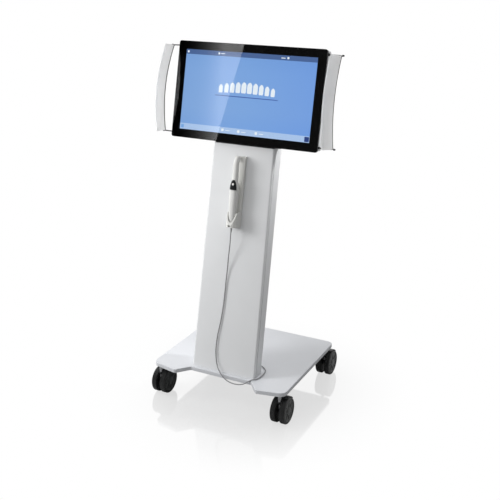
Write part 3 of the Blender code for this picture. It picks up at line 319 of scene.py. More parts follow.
class Shader:
    """A material's nodes: add() makes one, link() joins two sockets."""

    def __init__(self, name):
        self.material = bpy.data.materials.new(name)
        self.material.use_nodes = True
        self.tree = self.material.node_tree
        self.surface = self.tree.nodes["Principled BSDF"]

    def add(self, kind, **values):
        node = self.tree.nodes.new(kind)
        for name, value in values.items():
            if hasattr(node, name):
                setattr(node, name, value)
            else:
                node.inputs[name.replace("_", " ")].default_value = value
        return node

    def link(self, source, target):
        self.tree.links.new(source, target)

    def feed(self, source, name):
        """Links a value to a socket of the surface."""
        self.link(source, self.surface.inputs[name])

    def set(self, **values):
        for name, value in values.items():
            self.surface.inputs[name.replace("_", " ")].default_value = value

    def place(self):
        return self.add("ShaderNodeTexCoord").outputs["Object"]

    def noise(self, scale, detail=3.0, stretch=None):
        source = self.place()
        if stretch is not None:
            mapping = self.add("ShaderNodeMapping")
            mapping.inputs["Scale"].default_value = stretch
            self.link(source, mapping.inputs["Vector"])
            source = mapping.outputs["Vector"]
        texture = self.add("ShaderNodeTexNoise", Scale=scale, Detail=detail)
        self.link(source, texture.inputs["Vector"])
        return texture.outputs["Fac"]

    def ramp(self, factor, stops):
        node = self.add("ShaderNodeValToRGB")
        elements = node.color_ramp.elements
        while len(elements) < len(stops):
            elements.new(0.5)
        for element, (position, color) in zip(elements, stops):
            element.position = position
            element.color = (*color, 1.0)
        self.link(factor, node.inputs["Fac"])
        return node.outputs["Color"]

    def spread(self, factor, low, high, out_low, out_high):
        return map_range(self.tree, factor, low, high, out_low, out_high).outputs["Result"]

    def along(self, axis):
        """One coordinate of the place, as a plain value."""
        parts = self.add("ShaderNodeSeparateXYZ")
        self.link(self.place(), parts.inputs["Vector"])
        return parts.outputs[axis]

    def bump(self, height, strength, distance):
        node = self.add("ShaderNodeBump", Strength=strength, Distance=distance)
        self.link(height, node.inputs["Height"])
        self.feed(node.outputs["Normal"], "Normal")

    def blend(self, factor, first, second):
        """The output mixes two shaders by a factor."""
        mix = self.add("ShaderNodeMixShader")
        self.link(factor, mix.inputs["Fac"])
        self.link(first, mix.inputs[1])
        self.link(second, mix.inputs[2])
        self.link(mix.outputs["Shader"], self.tree.nodes["Material Output"].inputs["Surface"])


def tinted(color, share):
    return tuple(c * share for c in color)


def moulded(name, color, roughness, grain=900.0, depth=0.00004):
    """Moulded plastic: faint cloudy tone, fine grain, and a gloss that varies a little."""
    s = Shader(name)
    s.feed(s.ramp(s.noise(9.0, 4.0), [(0.3, tinted(color, 0.97)), (0.7, color)]), "Base Color")
    s.feed(s.spread(s.noise(60.0, 4.0), 0.3, 0.7, roughness - 0.05, roughness + 0.05), "Roughness")
    s.bump(s.noise(grain, 2.0), 0.25, depth)
    return s.material


def metal(name, color, roughness, stretch):
    """Bright metal with fine streaks along its length."""
    s = Shader(name)
    s.set(Metallic=1.0)
    streak = s.noise(700.0, 3.0, stretch)
    s.feed(s.ramp(streak, [(0.3, tinted(color, 0.85)), (0.7, color)]), "Base Color")
    s.feed(s.spread(streak, 0.3, 0.7, roughness - 0.06, roughness + 0.08), "Roughness")
    s.bump(streak, 0.2, 0.00003)
    return s.material


def frosted(name, color):
    """Thin white moulding that lets some light through."""
    s = Shader(name)
    s.feed(s.ramp(s.noise(9.0, 4.0), [(0.3, tinted(color, 0.98)), (0.7, color)]), "Base Color")
    s.set(Roughness=0.36, Subsurface_Weight=1.0, Subsurface_Radius=(1.0, 1.0, 1.0), Subsurface_Scale=0.02)
    s.bump(s.noise(900.0, 2.0), 0.25, 0.00004)
    return s.material


def clear_glass():
    s = Shader("clear_cover_glass")
    s.set(Base_Color=(1.0, 1.0, 1.0, 1.0), Transmission_Weight=1.0, IOR=1.5)
    s.feed(s.spread(s.noise(30.0, 2.0), 0.3, 0.7, 0.0, 0.03), "Roughness")
    return s.material


def printed_border():
    s = Shader("black_printed_border")
    tones = [(0.3, (0.0020, 0.0024, 0.0030)), (0.7, (0.0030, 0.0034, 0.0042))]
    s.feed(s.ramp(s.noise(40.0, 2.0), tones), "Base Color")
    s.set(Roughness=0.6, Specular_IOR_Level=0.1)
    return s.material


def lit(name):
    """A surface without gloss or colour of its own, for what glows."""
    s = Shader(name)
    s.set(Base_Color=(0.0, 0.0, 0.0, 1.0), Roughness=0.6, Specular_IOR_Level=0.0, Emission_Strength=1.0)
    return s


def ink(name, color):
    """Lit picture element with a faint pixel grain."""
    s = lit(name)
    s.feed(s.ramp(s.noise(300.0, 1.0), [(0.3, tinted(color, 0.97)), (0.7, color)]), "Emission Color")
    return s.material


def desktop():
    """The lit blue background: lighter towards its middle and its left."""
    s = lit("lit_blue_desktop")
    side = s.spread(s.along("X"), -SCREEN_W / 2, SCREEN_W / 2, 0.0, 1.0)
    low = SCREEN_AT[2] - SCREEN_H / 2
    height = s.spread(s.along("Z"), low, low + SCREEN_H, 0.0, 1.0)
    across = [
        (0.0, (0.225, 0.405, 0.755)),
        (0.5, (0.212, 0.400, 0.780)),
        (1.0, (0.185, 0.365, 0.790)),
    ]
    upward = [
        (0.0, (0.93, 0.96, 1.0)),
        (0.3, (1.04, 1.02, 1.0)),
        (0.75, (1.0, 1.0, 1.0)),
        (1.0, (0.90, 0.93, 0.96)),
    ]
    mix = s.add("ShaderNodeMix", data_type="RGBA", blend_type="MULTIPLY")
    mix.inputs["Factor"].default_value = 1.0
    s.link(s.ramp(side, across), mix.inputs["A"])
    s.link(s.ramp(height, upward), mix.inputs["B"])
    s.feed(mix.outputs["Result"], "Emission Color")
    return s.material


MATERIALS = {
    "white_plastic": moulded("satin_white_moulding", (0.80, 0.81, 0.82), 0.38),
    "warm_plastic": moulded("ivory_white_moulding", (0.80, 0.80, 0.78), 0.34),
    "holder": moulded("warm_grey_moulding", (0.79, 0.79, 0.76), 0.40),
    "wing_white": frosted("frosted_white_blade", (0.90, 0.91, 0.92)),
    "white_paint": moulded("powder_coat", (0.70, 0.715, 0.745), 0.34, grain=350.0, depth=0.00008),
    "grey_plastic": moulded("grey_moulding", (0.17, 0.175, 0.18), 0.48),
    "dark_plastic": moulded("black_moulding", (0.018, 0.019, 0.021), 0.42),
    "tyre": moulded("black_tyre", (0.020, 0.021, 0.021), 0.42, grain=1200.0, depth=0.00006),
    "hub": moulded("dark_grey_hub", (0.050, 0.053, 0.052), 0.36),
    "grey_rubber": moulded("grey_rubber_sleeve", (0.30, 0.30, 0.31), 0.62, grain=1400.0),
    "zinc_steel": metal("bright_zinc", (0.62, 0.63, 0.65), 0.28, (1, 1, 12)),
    "dark_metal": metal("dark_bright_rod", (0.14, 0.14, 0.145), 0.33, (1, 1, 8)),
    "screen_glass": moulded("smoked_lens", (0.010, 0.011, 0.013), 0.10, grain=200.0, depth=0.00001),
    "cover_glass": clear_glass(),
    "border": printed_border(),
    "display_panel": desktop(),
    "bar_dark": ink("menu_bar_blue", (0.075, 0.140, 0.325)),
    "bar_light": ink("task_bar_pale", (0.430, 0.600, 0.880)),
    "ink_white": ink("ink_white", (0.85, 0.93, 1.0)),
    "ink_navy": ink("ink_navy", (0.030, 0.060, 0.220)),
    "ink_sky": ink("ink_sky", (0.200, 0.420, 0.800)),
    "ink_shadow": ink("ink_shadow", (0.060, 0.120, 0.400)),
}

# Solids whose look isn't their slot's
DRESSED = {
    "wand_body": "warm_plastic",
    "wand_neck": "warm_plastic",
    "wand_button": "warm_plastic",
    "wand_holder": "holder",
}


# Mesh helpers


def arc(centre, radius, start, end, steps):
    angles = [start + (end - start) * i / steps for i in range(steps + 1)]
    return [(centre[0] + radius * math.cos(a), centre[1] + radius * math.sin(a)) for a in angles]


def rounded_rectangle(left, right, bottom, top, radius, steps=8):
    quarter = math.pi / 2
    centres = [(right - radius, bottom + radius), (right - radius, top - radius)]
    centres += [(left + radius, top - radius), (left + radius, bottom + radius)]
    outline = []
    for i, centre in enumerate(centres):
        outline += arc(centre, radius, (i - 1) * quarter, i * quarter, steps)
    return outline


def loft(rings, loop=False):
    """A skin over rings of points, with closed ends or run back to the first ring."""
    bm = bmesh.new()
    rows = [[bm.verts.new(p) for p in ring] for ring in rings]
    count = len(rows[0])
    pairs = list(zip(rows, rows[1:]))
    if loop:
        pairs.append((rows[-1], rows[0]))
    for low, high in pairs:
        for i in range(count):
            j = (i + 1) % count
            bm.faces.new((low[i], low[j], high[j], high[i]))
    if not loop:
        bm.faces.new(list(reversed(rows[0])))
        bm.faces.new(rows[-1])
    return bm


def slab(outline, front, back):
    """A flat outline in XZ given thickness along Y."""
    return loft([[(x, y, z) for x, z in outline] for y in (front, back)])


def plate(outline, low, high):
    """A flat outline in XY given thickness along Z."""
    return loft([[(x, y, z) for x, y in outline] for z in (low, high)])


def turned(profile, sides):
    """Spins (radius, height) points about Z; a point at radius 0 closes the end on the axis."""
    bm = bmesh.new()
    rows = []
    for radius, height in profile:
        if radius <= 0:
            rows.append([bm.verts.new((0, 0, height))])
            continue
        angles = [2 * math.pi * i / sides for i in range(sides)]
        rows.append([bm.verts.new((radius * math.cos(a), radius * math.sin(a), height)) for a in angles])
    for low, high in zip(rows, rows[1:]):
        for i in range(sides):
            j = (i + 1) % sides
            corners = [low[i % len(low)], low[j % len(low)], high[j % len(high)], high[i % len(high)]]
            bm.faces.new(list(dict.fromkeys(corners)))
    return bm


def joined(parts):
    """One bmesh that holds several closed bodies."""
    bm = bmesh.new()
    for part in parts:
        mesh = bpy.data.meshes.new("part")
        part.to_mesh(mesh)
        part.free()
        bm.from_mesh(mesh)
        bpy.data.meshes.remove(mesh)
    return bm


def moved(bm, matrix):
    bmesh.ops.transform(bm, matrix=matrix, verts=bm.verts)
    return bm


def piece(name, bm, look, body="cart", replaced=(), bevel=0.0):
    """A finer piece in place: its look, the body that it rides on and the solids that it stands for."""
    bmesh.ops.recalc_face_normals(bm, faces=bm.faces)
    mesh = bpy.data.meshes.new(name)
    bm.to_mesh(mesh)
    bm.free()
    mesh.shade_smooth()
    mesh.set_sharp_from_angle(angle=SHARP)
    mesh.materials.append(MATERIALS[look])
    obj = bpy.data.objects.new(name, mesh)
    bpy.context.scene.collection.objects.link(obj)
    if bevel:
        round_edges = obj.modifiers.new("edge_round", "BEVEL")
        round_edges.width = bevel
        round_edges.segments = 3
        round_edges.limit_method = "ANGLE"
    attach(obj, body)
    if replaced:
        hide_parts(*replaced)
    return obj


def tube(name, line, radius, look, body="cart"):
    """A round rod or cord along a line of points."""
    curve = bpy.data.curves.new(name, "CURVE")
    curve.dimensions = "3D"
    curve.bevel_depth = radius
    curve.bevel_resolution = 4
    curve.use_fill_caps = True
    spline = curve.splines.new("POLY")
    spline.points.add(len(line) - 1)
    for point, place in zip(spline.points, line):
        point.co = (*place, 1.0)
    obj = bpy.data.objects.new(name, curve)
    bpy.context.scene.collection.objects.link(obj)
    curve.materials.append(MATERIALS[look])
    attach(obj, body)
    return obj


def dress_nodes():
    """Gives every solid its material and its shading."""
    for part in frame["record"]["subparts"]:
        node = part["node"]
        data = nodes[node].data
        data.materials.clear()
        data.materials.append(MATERIALS[DRESSED.get(node, part["material_slot"])])
        data.shade_smooth()
        data.set_sharp_from_angle(angle=SHARP_PLATE if node == "base_plate" else SHARP)


# Castors


def wheel_profile(radius, width):
    """One wheel from its inner face out: round tyre, and a side sunk for the disc."""
    inner_r = 0.002
    shoulder = (radius - TYRE_SHOULDER, width - TYRE_SHOULDER - 0.0005)
    tyre = arc(shoulder, TYRE_SHOULDER, 0, math.pi / 2, 8)
    inner = arc((radius - inner_r, inner_r), inner_r, -math.pi / 2, 0, 4)
    seat_r = radius - TYRE_FACE_W - 0.001
    side = [(radius - TYRE_FACE_W, width - HUB_FACE), (seat_r, width - HUB_SEAT), (0, width - HUB_SEAT)]
    return [(0, 0)] + inner + tyre + side


def hub_profile(radius, width):
    """The wheel's side disc: raised rim, dished web and a round cap in the middle."""
    face = width - HUB_FACE
    rim = radius - HUB_RIM_IN
    edge = 0.0006
    return [
        (0, width - HUB_SINK),
        (rim, width - HUB_SINK),
        (rim, face - edge),
        (rim - 0.0008, face),
        (rim - HUB_RIM_W, face),
        (rim - HUB_RIM_W - 0.0010, face - 0.0012),
        (radius * 0.62, face - 0.0016),
        (radius * 0.34, face - 0.0022),
        (radius * 0.32, face - edge),
        (radius * 0.28, face),
        (0, face),
    ]


def wheel_ribs(radius, width):
    """Short ribs round the disc's web."""
    half_l = radius * 0.17
    outline = rounded_rectangle(-half_l, half_l, -RIB_HALF_W, RIB_HALF_W, 0.0012, 4)
    ribs = []
    for i in range(RIBS):
        turn = Matrix.Rotation(2 * math.pi * i / RIBS, 4, "Z")
        seat = Matrix.Translation((radius * 0.50, 0, width - RIB_T - 0.0006))
        ribs.append(moved(plate(outline, 0.0, RIB_T), turn @ seat))
    return joined(ribs)


def wheel(name, letter, side, centre):
    node = f"{name}_wheel_{letter}"
    body = f"{node}_body"
    low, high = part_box(node)
    radius = (high[2] - low[2]) / 2
    width = high[0] - low[0]
    inner = high[0] if side < 0 else low[0]
    turn = Matrix.Translation((inner, centre.y, centre.z)) @ Matrix.Rotation(side * math.pi / 2, 4, "Y")
    tyre = turned(wheel_profile(radius, width), 96)
    piece(f"{node}_tyre", moved(tyre, turn), "tyre", body, (node,))
    hub = turned(hub_profile(radius, width), 96)
    piece(f"{node}_hub", moved(hub, turn), "hub", body)
    piece(f"{node}_ribs", moved(wheel_ribs(radius, width), turn), "hub", body)


def fender():
    """The curved cover over both wheels, a little narrower at its ends."""
    section = rounded_rectangle(
        -FENDER_HALF_W, FENDER_HALF_W, FENDER_IN_R, FENDER_OUT_R, FENDER_CORNER_R, 4
    )
    rings = []
    for i in range(FENDER_STEPS + 1):
        angle = FENDER_START + (FENDER_END - FENDER_START) * i / FENDER_STEPS
        short = max(0, FENDER_TAPER_STEPS - min(i, FENDER_STEPS - i)) / FENDER_TAPER_STEPS
        share = FENDER_END_SHARE + (1 - FENDER_END_SHARE) * math.sqrt(1 - short**2)
        ring = [(x * share, r * math.cos(angle), r * math.sin(angle)) for x, r in section]
        rings.append(ring)
    return loft(rings)


def fork_web(axle_z):
    """The upright web between the wheels: under the fender, round the stem's boss and down to the axle."""
    boss_z = BOSS_TOP - axle_z
    outline = arc((0, 0), FENDER_IN_R + 0.0006, FENDER_START + 0.05, FENDER_END, 24)
    outline += [(-TRAIL + BOSS_R, boss_z)]
    outline += arc((-TRAIL, boss_z - BOSS_R * 0.4), BOSS_R * 0.8, 0.5, math.pi, 6)
    outline += arc((0, 0), AXLE_BOSS_R, math.radians(205), math.radians(325), 10)
    half = WEB_T / 2 - WEB_INSET
    return loft([[(x, y, z) for y, z in outline] for x in (-half, half)])


def stem_ring():
    """The ring round the stem on top of the hood."""
    wide = BOSS_R
    profile = [
        (STEM_RING_IN_R, 0.0),
        (wide - 0.0004, 0.0),
        (wide, 0.0006),
        (wide, 0.0030),
        (wide - 0.0014, 0.0042),
        (STEM_RING_TOP_R, STEM_RING_H),
        (STEM_RING_TOP_R, 0.0),
    ]
    return turned(profile, 48)


def castor(name):
    low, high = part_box(f"{name}_axle")
    centre = (Vector(low) + Vector(high)) / 2
    swivel = f"{name}_swivel"
    for letter, side in (("l", -1), ("r", 1)):
        wheel(name, letter, side, centre)
    hood = moved(joined([fender(), fork_web(centre.z)]), Matrix.Translation(centre))
    piece(f"{name}_fork", hood, "dark_plastic", swivel, (f"{name}_hood",))
    ring_at = Matrix.Translation((centre.x, centre.y - TRAIL, BOSS_TOP - STEM_RING_H))
    piece(f"{name}_stem_ring", moved(stem_ring(), ring_at), "dark_plastic", swivel)


# Screen


def display():
    """Clear cover, printed border, the lit panel right behind it and its dark back."""
    place = screen_matrix()
    half = SCREEN_W / 2 + BORDER_SIDE
    top = SCREEN_H / 2 + BORDER_TOP
    bottom = -SCREEN_H / 2 - BORDER_BOTTOM
    outline = rounded_rectangle(-half, half, bottom, top, GLASS_CORNER_R, 12)
    cover = moved(slab(outline, 0, COVER_T), place)
    covered = ("glass_panel",)
    piece("cover_glass", cover, "cover_glass", "cart", covered, bevel=GLASS_BEVEL)

    near = COVER_T + INK_T
    half_w, half_h = SCREEN_W / 2, SCREEN_H / 2
    window = rounded_rectangle(-half_w, half_w, -half_h, half_h, WINDOW_CORNER_R, 12)
    rings = ((outline, near), (outline, GLASS_T), (window, GLASS_T), (window, near))
    border = loft([[(x, y, z) for x, z in ring] for ring, y in rings], loop=True)
    piece("printed_border", moved(border, place), "border", "cart")

    half_w -= LIT_INSET
    half_h -= LIT_INSET
    area = rounded_rectangle(-half_w, half_w, -half_h, half_h, WINDOW_CORNER_R, 12)
    front = near + INK_T * 5
    panel = moved(slab(area, front, front + LIT_T), place)
    piece("lit_panel", panel, "display_panel", "cart", ("display_panel",))
    back = moved(slab(area, front + LIT_T + INK_T, PANEL_BACK), place)
    piece("panel_back", back, "dark_plastic")
    picture(place, front)


def flat(outline, layer, front, place):
    """One flat element of the picture, a hair in front of the panel."""
    back = front - INK_T * layer
    return moved(slab(outline, back - INK_T * 0.8, back), place)


def tooth(index, front, place):
    """One tooth of the row: wider and taller towards the middle, with a wavy edge."""
    share = (index + 0.5) / TEETH * 2 - 1
    wide = TOOTH_W - TOOTH_W_LOSS * abs(share)
    tall = TOOTH_H - TOOTH_H_LOSS * share * share
    x = share * TEETH_REACH
    root = PICTURE_Z + TOOTH_ROOT + TOOTH_ROOT_RISE * (1 - share * share)
    crown = rounded_rectangle(x - wide / 2, x + wide / 2, root, root + tall, wide * 0.46, 8)
    outline = [(px, pz + TOOTH_WAVE * math.cos((px - x) / wide * 2 * math.pi)) for px, pz in crown]
    return flat(outline, MARK_LAYER, front, place)


def picture(place, front):
    """A plain clinic desktop: menu bar, task bar with a few buttons, and a row of teeth in the middle."""
    left, right = -SCREEN_W / 2, SCREEN_W / 2
    bottom, top = -SCREEN_H / 2, SCREEN_H / 2

    def bar_strip(low, high):
        outline = rounded_rectangle(left + BAR_INSET, right - BAR_INSET, low, high, BAR_CORNER_R, 3)
        return flat(outline, BAR_LAYER, front, place)

    def mark(x, z, w, h, radius):
        outline = rounded_rectangle(x - w / 2, x + w / 2, z - h / 2, z + h / 2, radius, 5)
        return flat(outline, MARK_LAYER, front, place)

    menu = bar_strip(top - TOP_BAR_H, top - BAR_INSET)
    piece("menu_bar", menu, "bar_dark")
    task = bar_strip(bottom + BAR_INSET, bottom + BOTTOM_BAR_H)
    piece("task_bar", task, "bar_light")

    bar = top - TOP_BAR_H / 2
    tray = bottom + BOTTOM_BAR_H / 2
    marks = [mark(left + 0.0085, bar, 0.007, 0.008, 0.0018)]
    marks += [mark(-0.1265, bar, 0.008, 0.008, 0.0039), mark(-0.1105, bar, 0.015, 0.0028, 0.0012)]
    marks += [mark(0.1335, bar - 0.0010, 0.017, 0.0028, 0.0012), mark(0.1525, bar, 0.0075, 0.0075, 0.0018)]
    for x in TRAY_BUTTON_X:
        marks.append(mark(x, tray + 0.0010, 0.0105, 0.0100, 0.0030))
        marks.append(mark(x + 0.0210, tray, 0.0180, 0.0024, 0.0010))
    piece("bar_marks", joined(marks), "ink_white")
    corner = mark(right - 0.0105, tray, 0.0180, 0.0180, 0.0020)
    piece("corner_button", corner, "ink_navy")
    dividers = [mark(x, bar, 0.0016, 0.0090, 0.0006) for x in DIVIDER_X]
    piece("bar_dividers", joined(dividers), "ink_shadow")
    start = mark(left + 0.0110, tray, 0.0120, 0.0130, 0.0026)
    piece("start_button", start, "ink_sky")

    teeth = [tooth(i, front, place) for i in range(TEETH)]
    piece("teeth_row", joined(teeth), "ink_white")
    shadow = mark(0.0, PICTURE_Z, 0.2560, 0.0030, 0.0014)
    piece("teeth_shadow", shadow, "ink_shadow")


# Wing handles


def rail_y(z):
    share = min(1.0, abs(z) / RAIL_HALF_H)
    return RAIL_Y - WING_BOW * (1 - share * share)


def rail_x(z):
    return RAIL_X - RAIL_TAPER * z / RAIL_HALF_H


def rail_path(side):
    """From the housing's side along the top arm, down the bowed back edge and in along the bottom arm."""
    bend = RAIL_BEND_R
    reach = RAIL_HALF_H - bend
    arms, corners = [], []
    for level in (1, -1):
        corner = []
        for i in range(9):
            a = math.pi / 2 * (1 - i / 8)
            z = level * (reach + bend * math.sin(a))
            corner.append((side * (rail_x(z) - bend + bend * math.cos(a)), rail_y(z), z))
        z = level * RAIL_HALF_H
        root = (side * RAIL_ROOT, ARM_ROOT_Y, z)
        knee = (side * (RAIL_ROOT + ARM_STRAIGHT), ARM_ROOT_Y, z)
        arms.append([root, knee])
        corners.append(corner)
    spans = 48
    middle = []
    for i in range(1, spans):
        z = reach - 2 * reach * i / spans
        middle.append((side * rail_x(z), rail_y(z), z))
    return arms[0] + corners[0] + middle + corners[1][::-1] + arms[1][::-1]


def wing_section(z):
    """Section of a wing from the rail forward: a thin blade with full round edges."""
    back = rail_y(z) - RAIL_R - GAP
    half = WING_T / 2
    steps = 14
    line = []
    for i in range(steps + 1):
        share = i / steps
        y = back - half - (WING_DEPTH - WING_T) * share
        x = rail_x(z) - WING_FLARE * share + WING_BULGE * 4 * share * (1 - share)
        line.append((x, y, z - WING_DROP * share))
    outer = [(x + half, y, h) for x, y, h in line]
    inner = [(x - half, y, h) for x, y, h in reversed(line)]
    rounds = []
    for (x, y, h), way in ((line[-1], -1), (line[0], 1)):
        turn = [math.pi * (i + 1) / 6 for i in range(5)]
        rounds.append([(x - way * half * math.cos(a), y + way * half * math.sin(a), h) for a in turn])
    return outer + rounds[0] + inner + rounds[1]


def wings():
    place = screen_matrix()
    spans = 56
    for name, side in (("left", -1), ("right", 1)):
        rings = []
        for i in range(spans + 1):
            z = -RAIL_HALF_H + 2 * RAIL_HALF_H * i / spans
            rings.append([(side * x, y, h) for x, y, h in wing_section(z)])
        blade = moved(loft(rings), place)
        covered = (f"{name}_wing",)
        look = "wing_white"
        piece(f"{name}_wing_blade", blade, look, "cart", covered, bevel=WING_BEVEL)
        path = [place @ Vector(p) for p in rail_path(side)]
        rod = tube(f"{name}_rod", path, RAIL_R, "dark_metal")
        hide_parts(f"{name}_rail")


# Wand


def wand_line(up):
    """Distance out from the face of the wand's axis at a height up the face."""
    share = (up - WAND_FOOT_UP) / (WAND_BEND_UP - WAND_FOOT_UP)
    return WAND_FOOT_OUT + (WAND_NECK_OUT - WAND_FOOT_OUT) * share


def wand_width(up):
    """Width and depth of the wand at a height up the face."""
    body = WAND_SEAM_UP - WAND_FOOT_UP
    marks = [
        (WAND_FOOT_UP, WAND_BODY_W * 0.66, WAND_BODY_D * 0.66),
        (WAND_FOOT_UP + body * 0.05, WAND_BODY_W * 0.76, WAND_BODY_D * 0.76),
        (WAND_FOOT_UP + body * 0.35, WAND_BODY_W * 0.88, WAND_BODY_D * 0.89),
        (WAND_FOOT_UP + body * 0.86, WAND_BODY_W, WAND_BODY_D),
        (TRIM_BOTTOM + TRIM_H * 0.2, WAND_BODY_W * 0.98, WAND_BODY_D * 0.97),
        (TRIM_BOTTOM + TRIM_H * 1.1, WAND_NECK_W, WAND_NECK_W),
        (WAND_BEND_UP, WAND_HEAD_W, WAND_HEAD_W),
    ]
    for (low, w0, d0), (high, w1, d1) in zip(marks, marks[1:]):
        if up <= high:
            share = max(0.0, (up - low) / (high - low))
            ease = share * share * (3 - 2 * share)
            return w0 + (w1 - w0) * ease, d0 + (d1 - d0) * ease
    return marks[-1][1], marks[-1][2]


def wand_point(up, angle, offset=0.0):
    """A point on the wand's skin; angle 0 is the front, away from the column."""
    width, depth = wand_width(up)
    c, s = math.cos(angle), math.sin(angle)
    x = (width / 2 + offset) * math.copysign(abs(s) ** WAND_SQUARENESS, s)
    out = (depth / 2 + offset) * math.copysign(abs(c) ** WAND_SQUARENESS, c)
    return Vector((WAND_X + x, -(wand_line(up) + out), up))


def wand_ring(up, shrink=1.0):
    centre = Vector((WAND_X, -wand_line(up), up))
    ring = []
    for i in range(WAND_SIDES):
        point = wand_point(up, 2 * math.pi * (i + 0.5) / WAND_SIDES)
        ring.append(centre + (point - centre) * shrink)
    return ring


def head_centre():
    """The point that the wand's head bends round: how far out and how far up."""
    lean = math.atan2(WAND_NECK_OUT - WAND_FOOT_OUT, WAND_BEND_UP - WAND_FOOT_UP)
    out = wand_line(WAND_BEND_UP) - WAND_BEND_R * math.cos(lean)
    return out, WAND_BEND_UP + WAND_BEND_R * math.sin(lean)


def head_ring(turn, shrink=1.0, push=0.0):
    """A ring round the bent head: turn is the angle from the neck's line towards the column."""
    centre_out, centre_up = head_centre()
    out = centre_out + WAND_BEND_R * math.cos(turn) - push * math.sin(turn)
    up = centre_up + WAND_BEND_R * math.sin(turn) + push * math.cos(turn)
    middle = Vector((WAND_X, -out, up))
    across = Vector((1, 0, 0))
    outward = Vector((0, -math.cos(turn), math.sin(turn)))
    ring = []
    for i in range(WAND_SIDES):
        a = 2 * math.pi * (i + 0.5) / WAND_SIDES
        reach = WAND_HEAD_W / 2 * shrink
        ring.append(middle + across * reach * math.sin(a) + outward * reach * math.cos(a))
    return ring


def grip(place):
    """The wand's body, from its rounded foot to the seam."""
    length = WAND_SEAM_UP - WAND_FOOT_UP
    rings = [wand_ring(WAND_FOOT_UP, 0.86), wand_ring(WAND_FOOT_UP + 0.0004, 0.94)]
    for i in range(WAND_STEPS + 1):
        rings.append(wand_ring(WAND_FOOT_UP + length * (0.01 + 0.975 * i / WAND_STEPS)))
    rings += [wand_ring(WAND_SEAM_UP - 0.0008, 0.985), wand_ring(WAND_SEAM_UP - 0.0004, 0.955)]
    shell = moved(loft(rings), place)
    piece("wand_grip", shell, "warm_plastic", "cart", ("wand_body",))


def neck(place):
    """The wand's neck from the seam up, its bent head and the head's rounded end."""
    start = WAND_SEAM_UP + GAP
    length = WAND_BEND_UP - start
    rings = [wand_ring(start, 0.955), wand_ring(start + 0.0005, 0.985)]
    for i in range(WAND_STEPS + 1):
        rings.append(wand_ring(start + length * (0.018 + 0.982 * i / WAND_STEPS)))
    for degrees in range(HEAD_TURN_STEP, HEAD_TURN_END, HEAD_TURN_STEP):
        rings.append(head_ring(math.radians(degrees)))
    last = math.radians(HEAD_TURN_END)
    rings += [head_ring(last, 0.99), head_ring(last, 0.94, 0.0007), head_ring(last, 0.84, 0.0012)]
    shell = moved(loft(rings), place)
    piece("wand_neck_shell", shell, "warm_plastic", "cart", ("wand_neck",))


def trim(place):
    """Dark arch-shaped inlay round the button, raised a little over the grip's skin."""
    rows, columns = 36, 28
    layers = []
    bm = bmesh.new()
    for offset in (-TRIM_SINK, TRIM_T + GAP):
        grid = []
        for r in range(rows + 1):
            share = r / rows
            up = TRIM_BOTTOM + TRIM_H * share
            half = TRIM_ANGLE * math.sqrt(max(0.0, 1 - (share * 0.985) ** TRIM_ARCH_POWER))
            row = []
            for c in range(columns + 1):
                across = 2 * c / columns - 1
                edge = min(1.0, (1 - abs(across)) * 9, (1 - share) * 12, share * 16)
                sink = 0.0 if offset < 0 else TRIM_EDGE * (1 - math.sqrt(edge * (2 - edge)))
                row.append(bm.verts.new(wand_point(up, half * across, offset - sink)))
            grid.append(row)
        layers.append(grid)
    low, high = layers
    for r in range(rows):
        for c in range(columns):
            bm.faces.new((low[r][c], low[r + 1][c], low[r + 1][c + 1], low[r][c + 1]))
            bm.faces.new((high[r][c], high[r][c + 1], high[r + 1][c + 1], high[r + 1][c]))
        bm.faces.new((low[r][0], high[r][0], high[r + 1][0], low[r + 1][0]))
        bm.faces.new((low[r][columns], low[r + 1][columns], high[r + 1][columns], high[r][columns]))
    for c in range(columns):
        bm.faces.new((low[0][c], low[0][c + 1], high[0][c + 1], high[0][c]))
        bm.faces.new((low[rows][c], high[rows][c], high[rows][c + 1], low[rows][c + 1]))
    piece("button_arch", moved(bm, place), "dark_plastic", "cart", ("button_trim",))


def button(place):
    """The domed button and the ring round it, square to the grip's sloping skin."""
    front = -wand_point(BUTTON_UP, 0.0, GAP + TRIM_T).y
    fall = wand_point(BUTTON_UP + BUTTON_R, 0.0).y - wand_point(BUTTON_UP - BUTTON_R, 0.0).y
    lean = math.atan2(fall, BUTTON_R * 2)
    at = Matrix.Translation((WAND_X, -front, BUTTON_UP))
    seat = place @ at @ Matrix.Rotation(math.pi / 2 - lean, 4, "X")
    corner = (BUTTON_R - BUTTON_ROUND, BUTTON_RIM_UP - BUTTON_ROUND)
    dome = arc(corner, BUTTON_ROUND, 0, math.pi / 2, 6)
    dome += [(BUTTON_R * 0.45, 0.00125), (BUTTON_R * 0.2, 0.0011), (0, 0.00105)]
    cap = turned([(0, BUTTON_ROOT), (BUTTON_R, BUTTON_ROOT)] + dome, 48)
    piece("press_button", moved(cap, seat), "warm_plastic", "button", ("wand_button",))

    inner = BUTTON_R + SURROUND_GAP
    outer = inner + SURROUND_W
    profile = [
        (inner, SURROUND_ROOT),
        (inner, 0.0002),
        (inner + 0.0006, 0.0004),
        (outer, 0.0),
        (outer, SURROUND_ROOT),
        (inner, SURROUND_ROOT),
    ]
    piece("button_surround", moved(turned(profile, 48), seat), "dark_plastic", "cart")


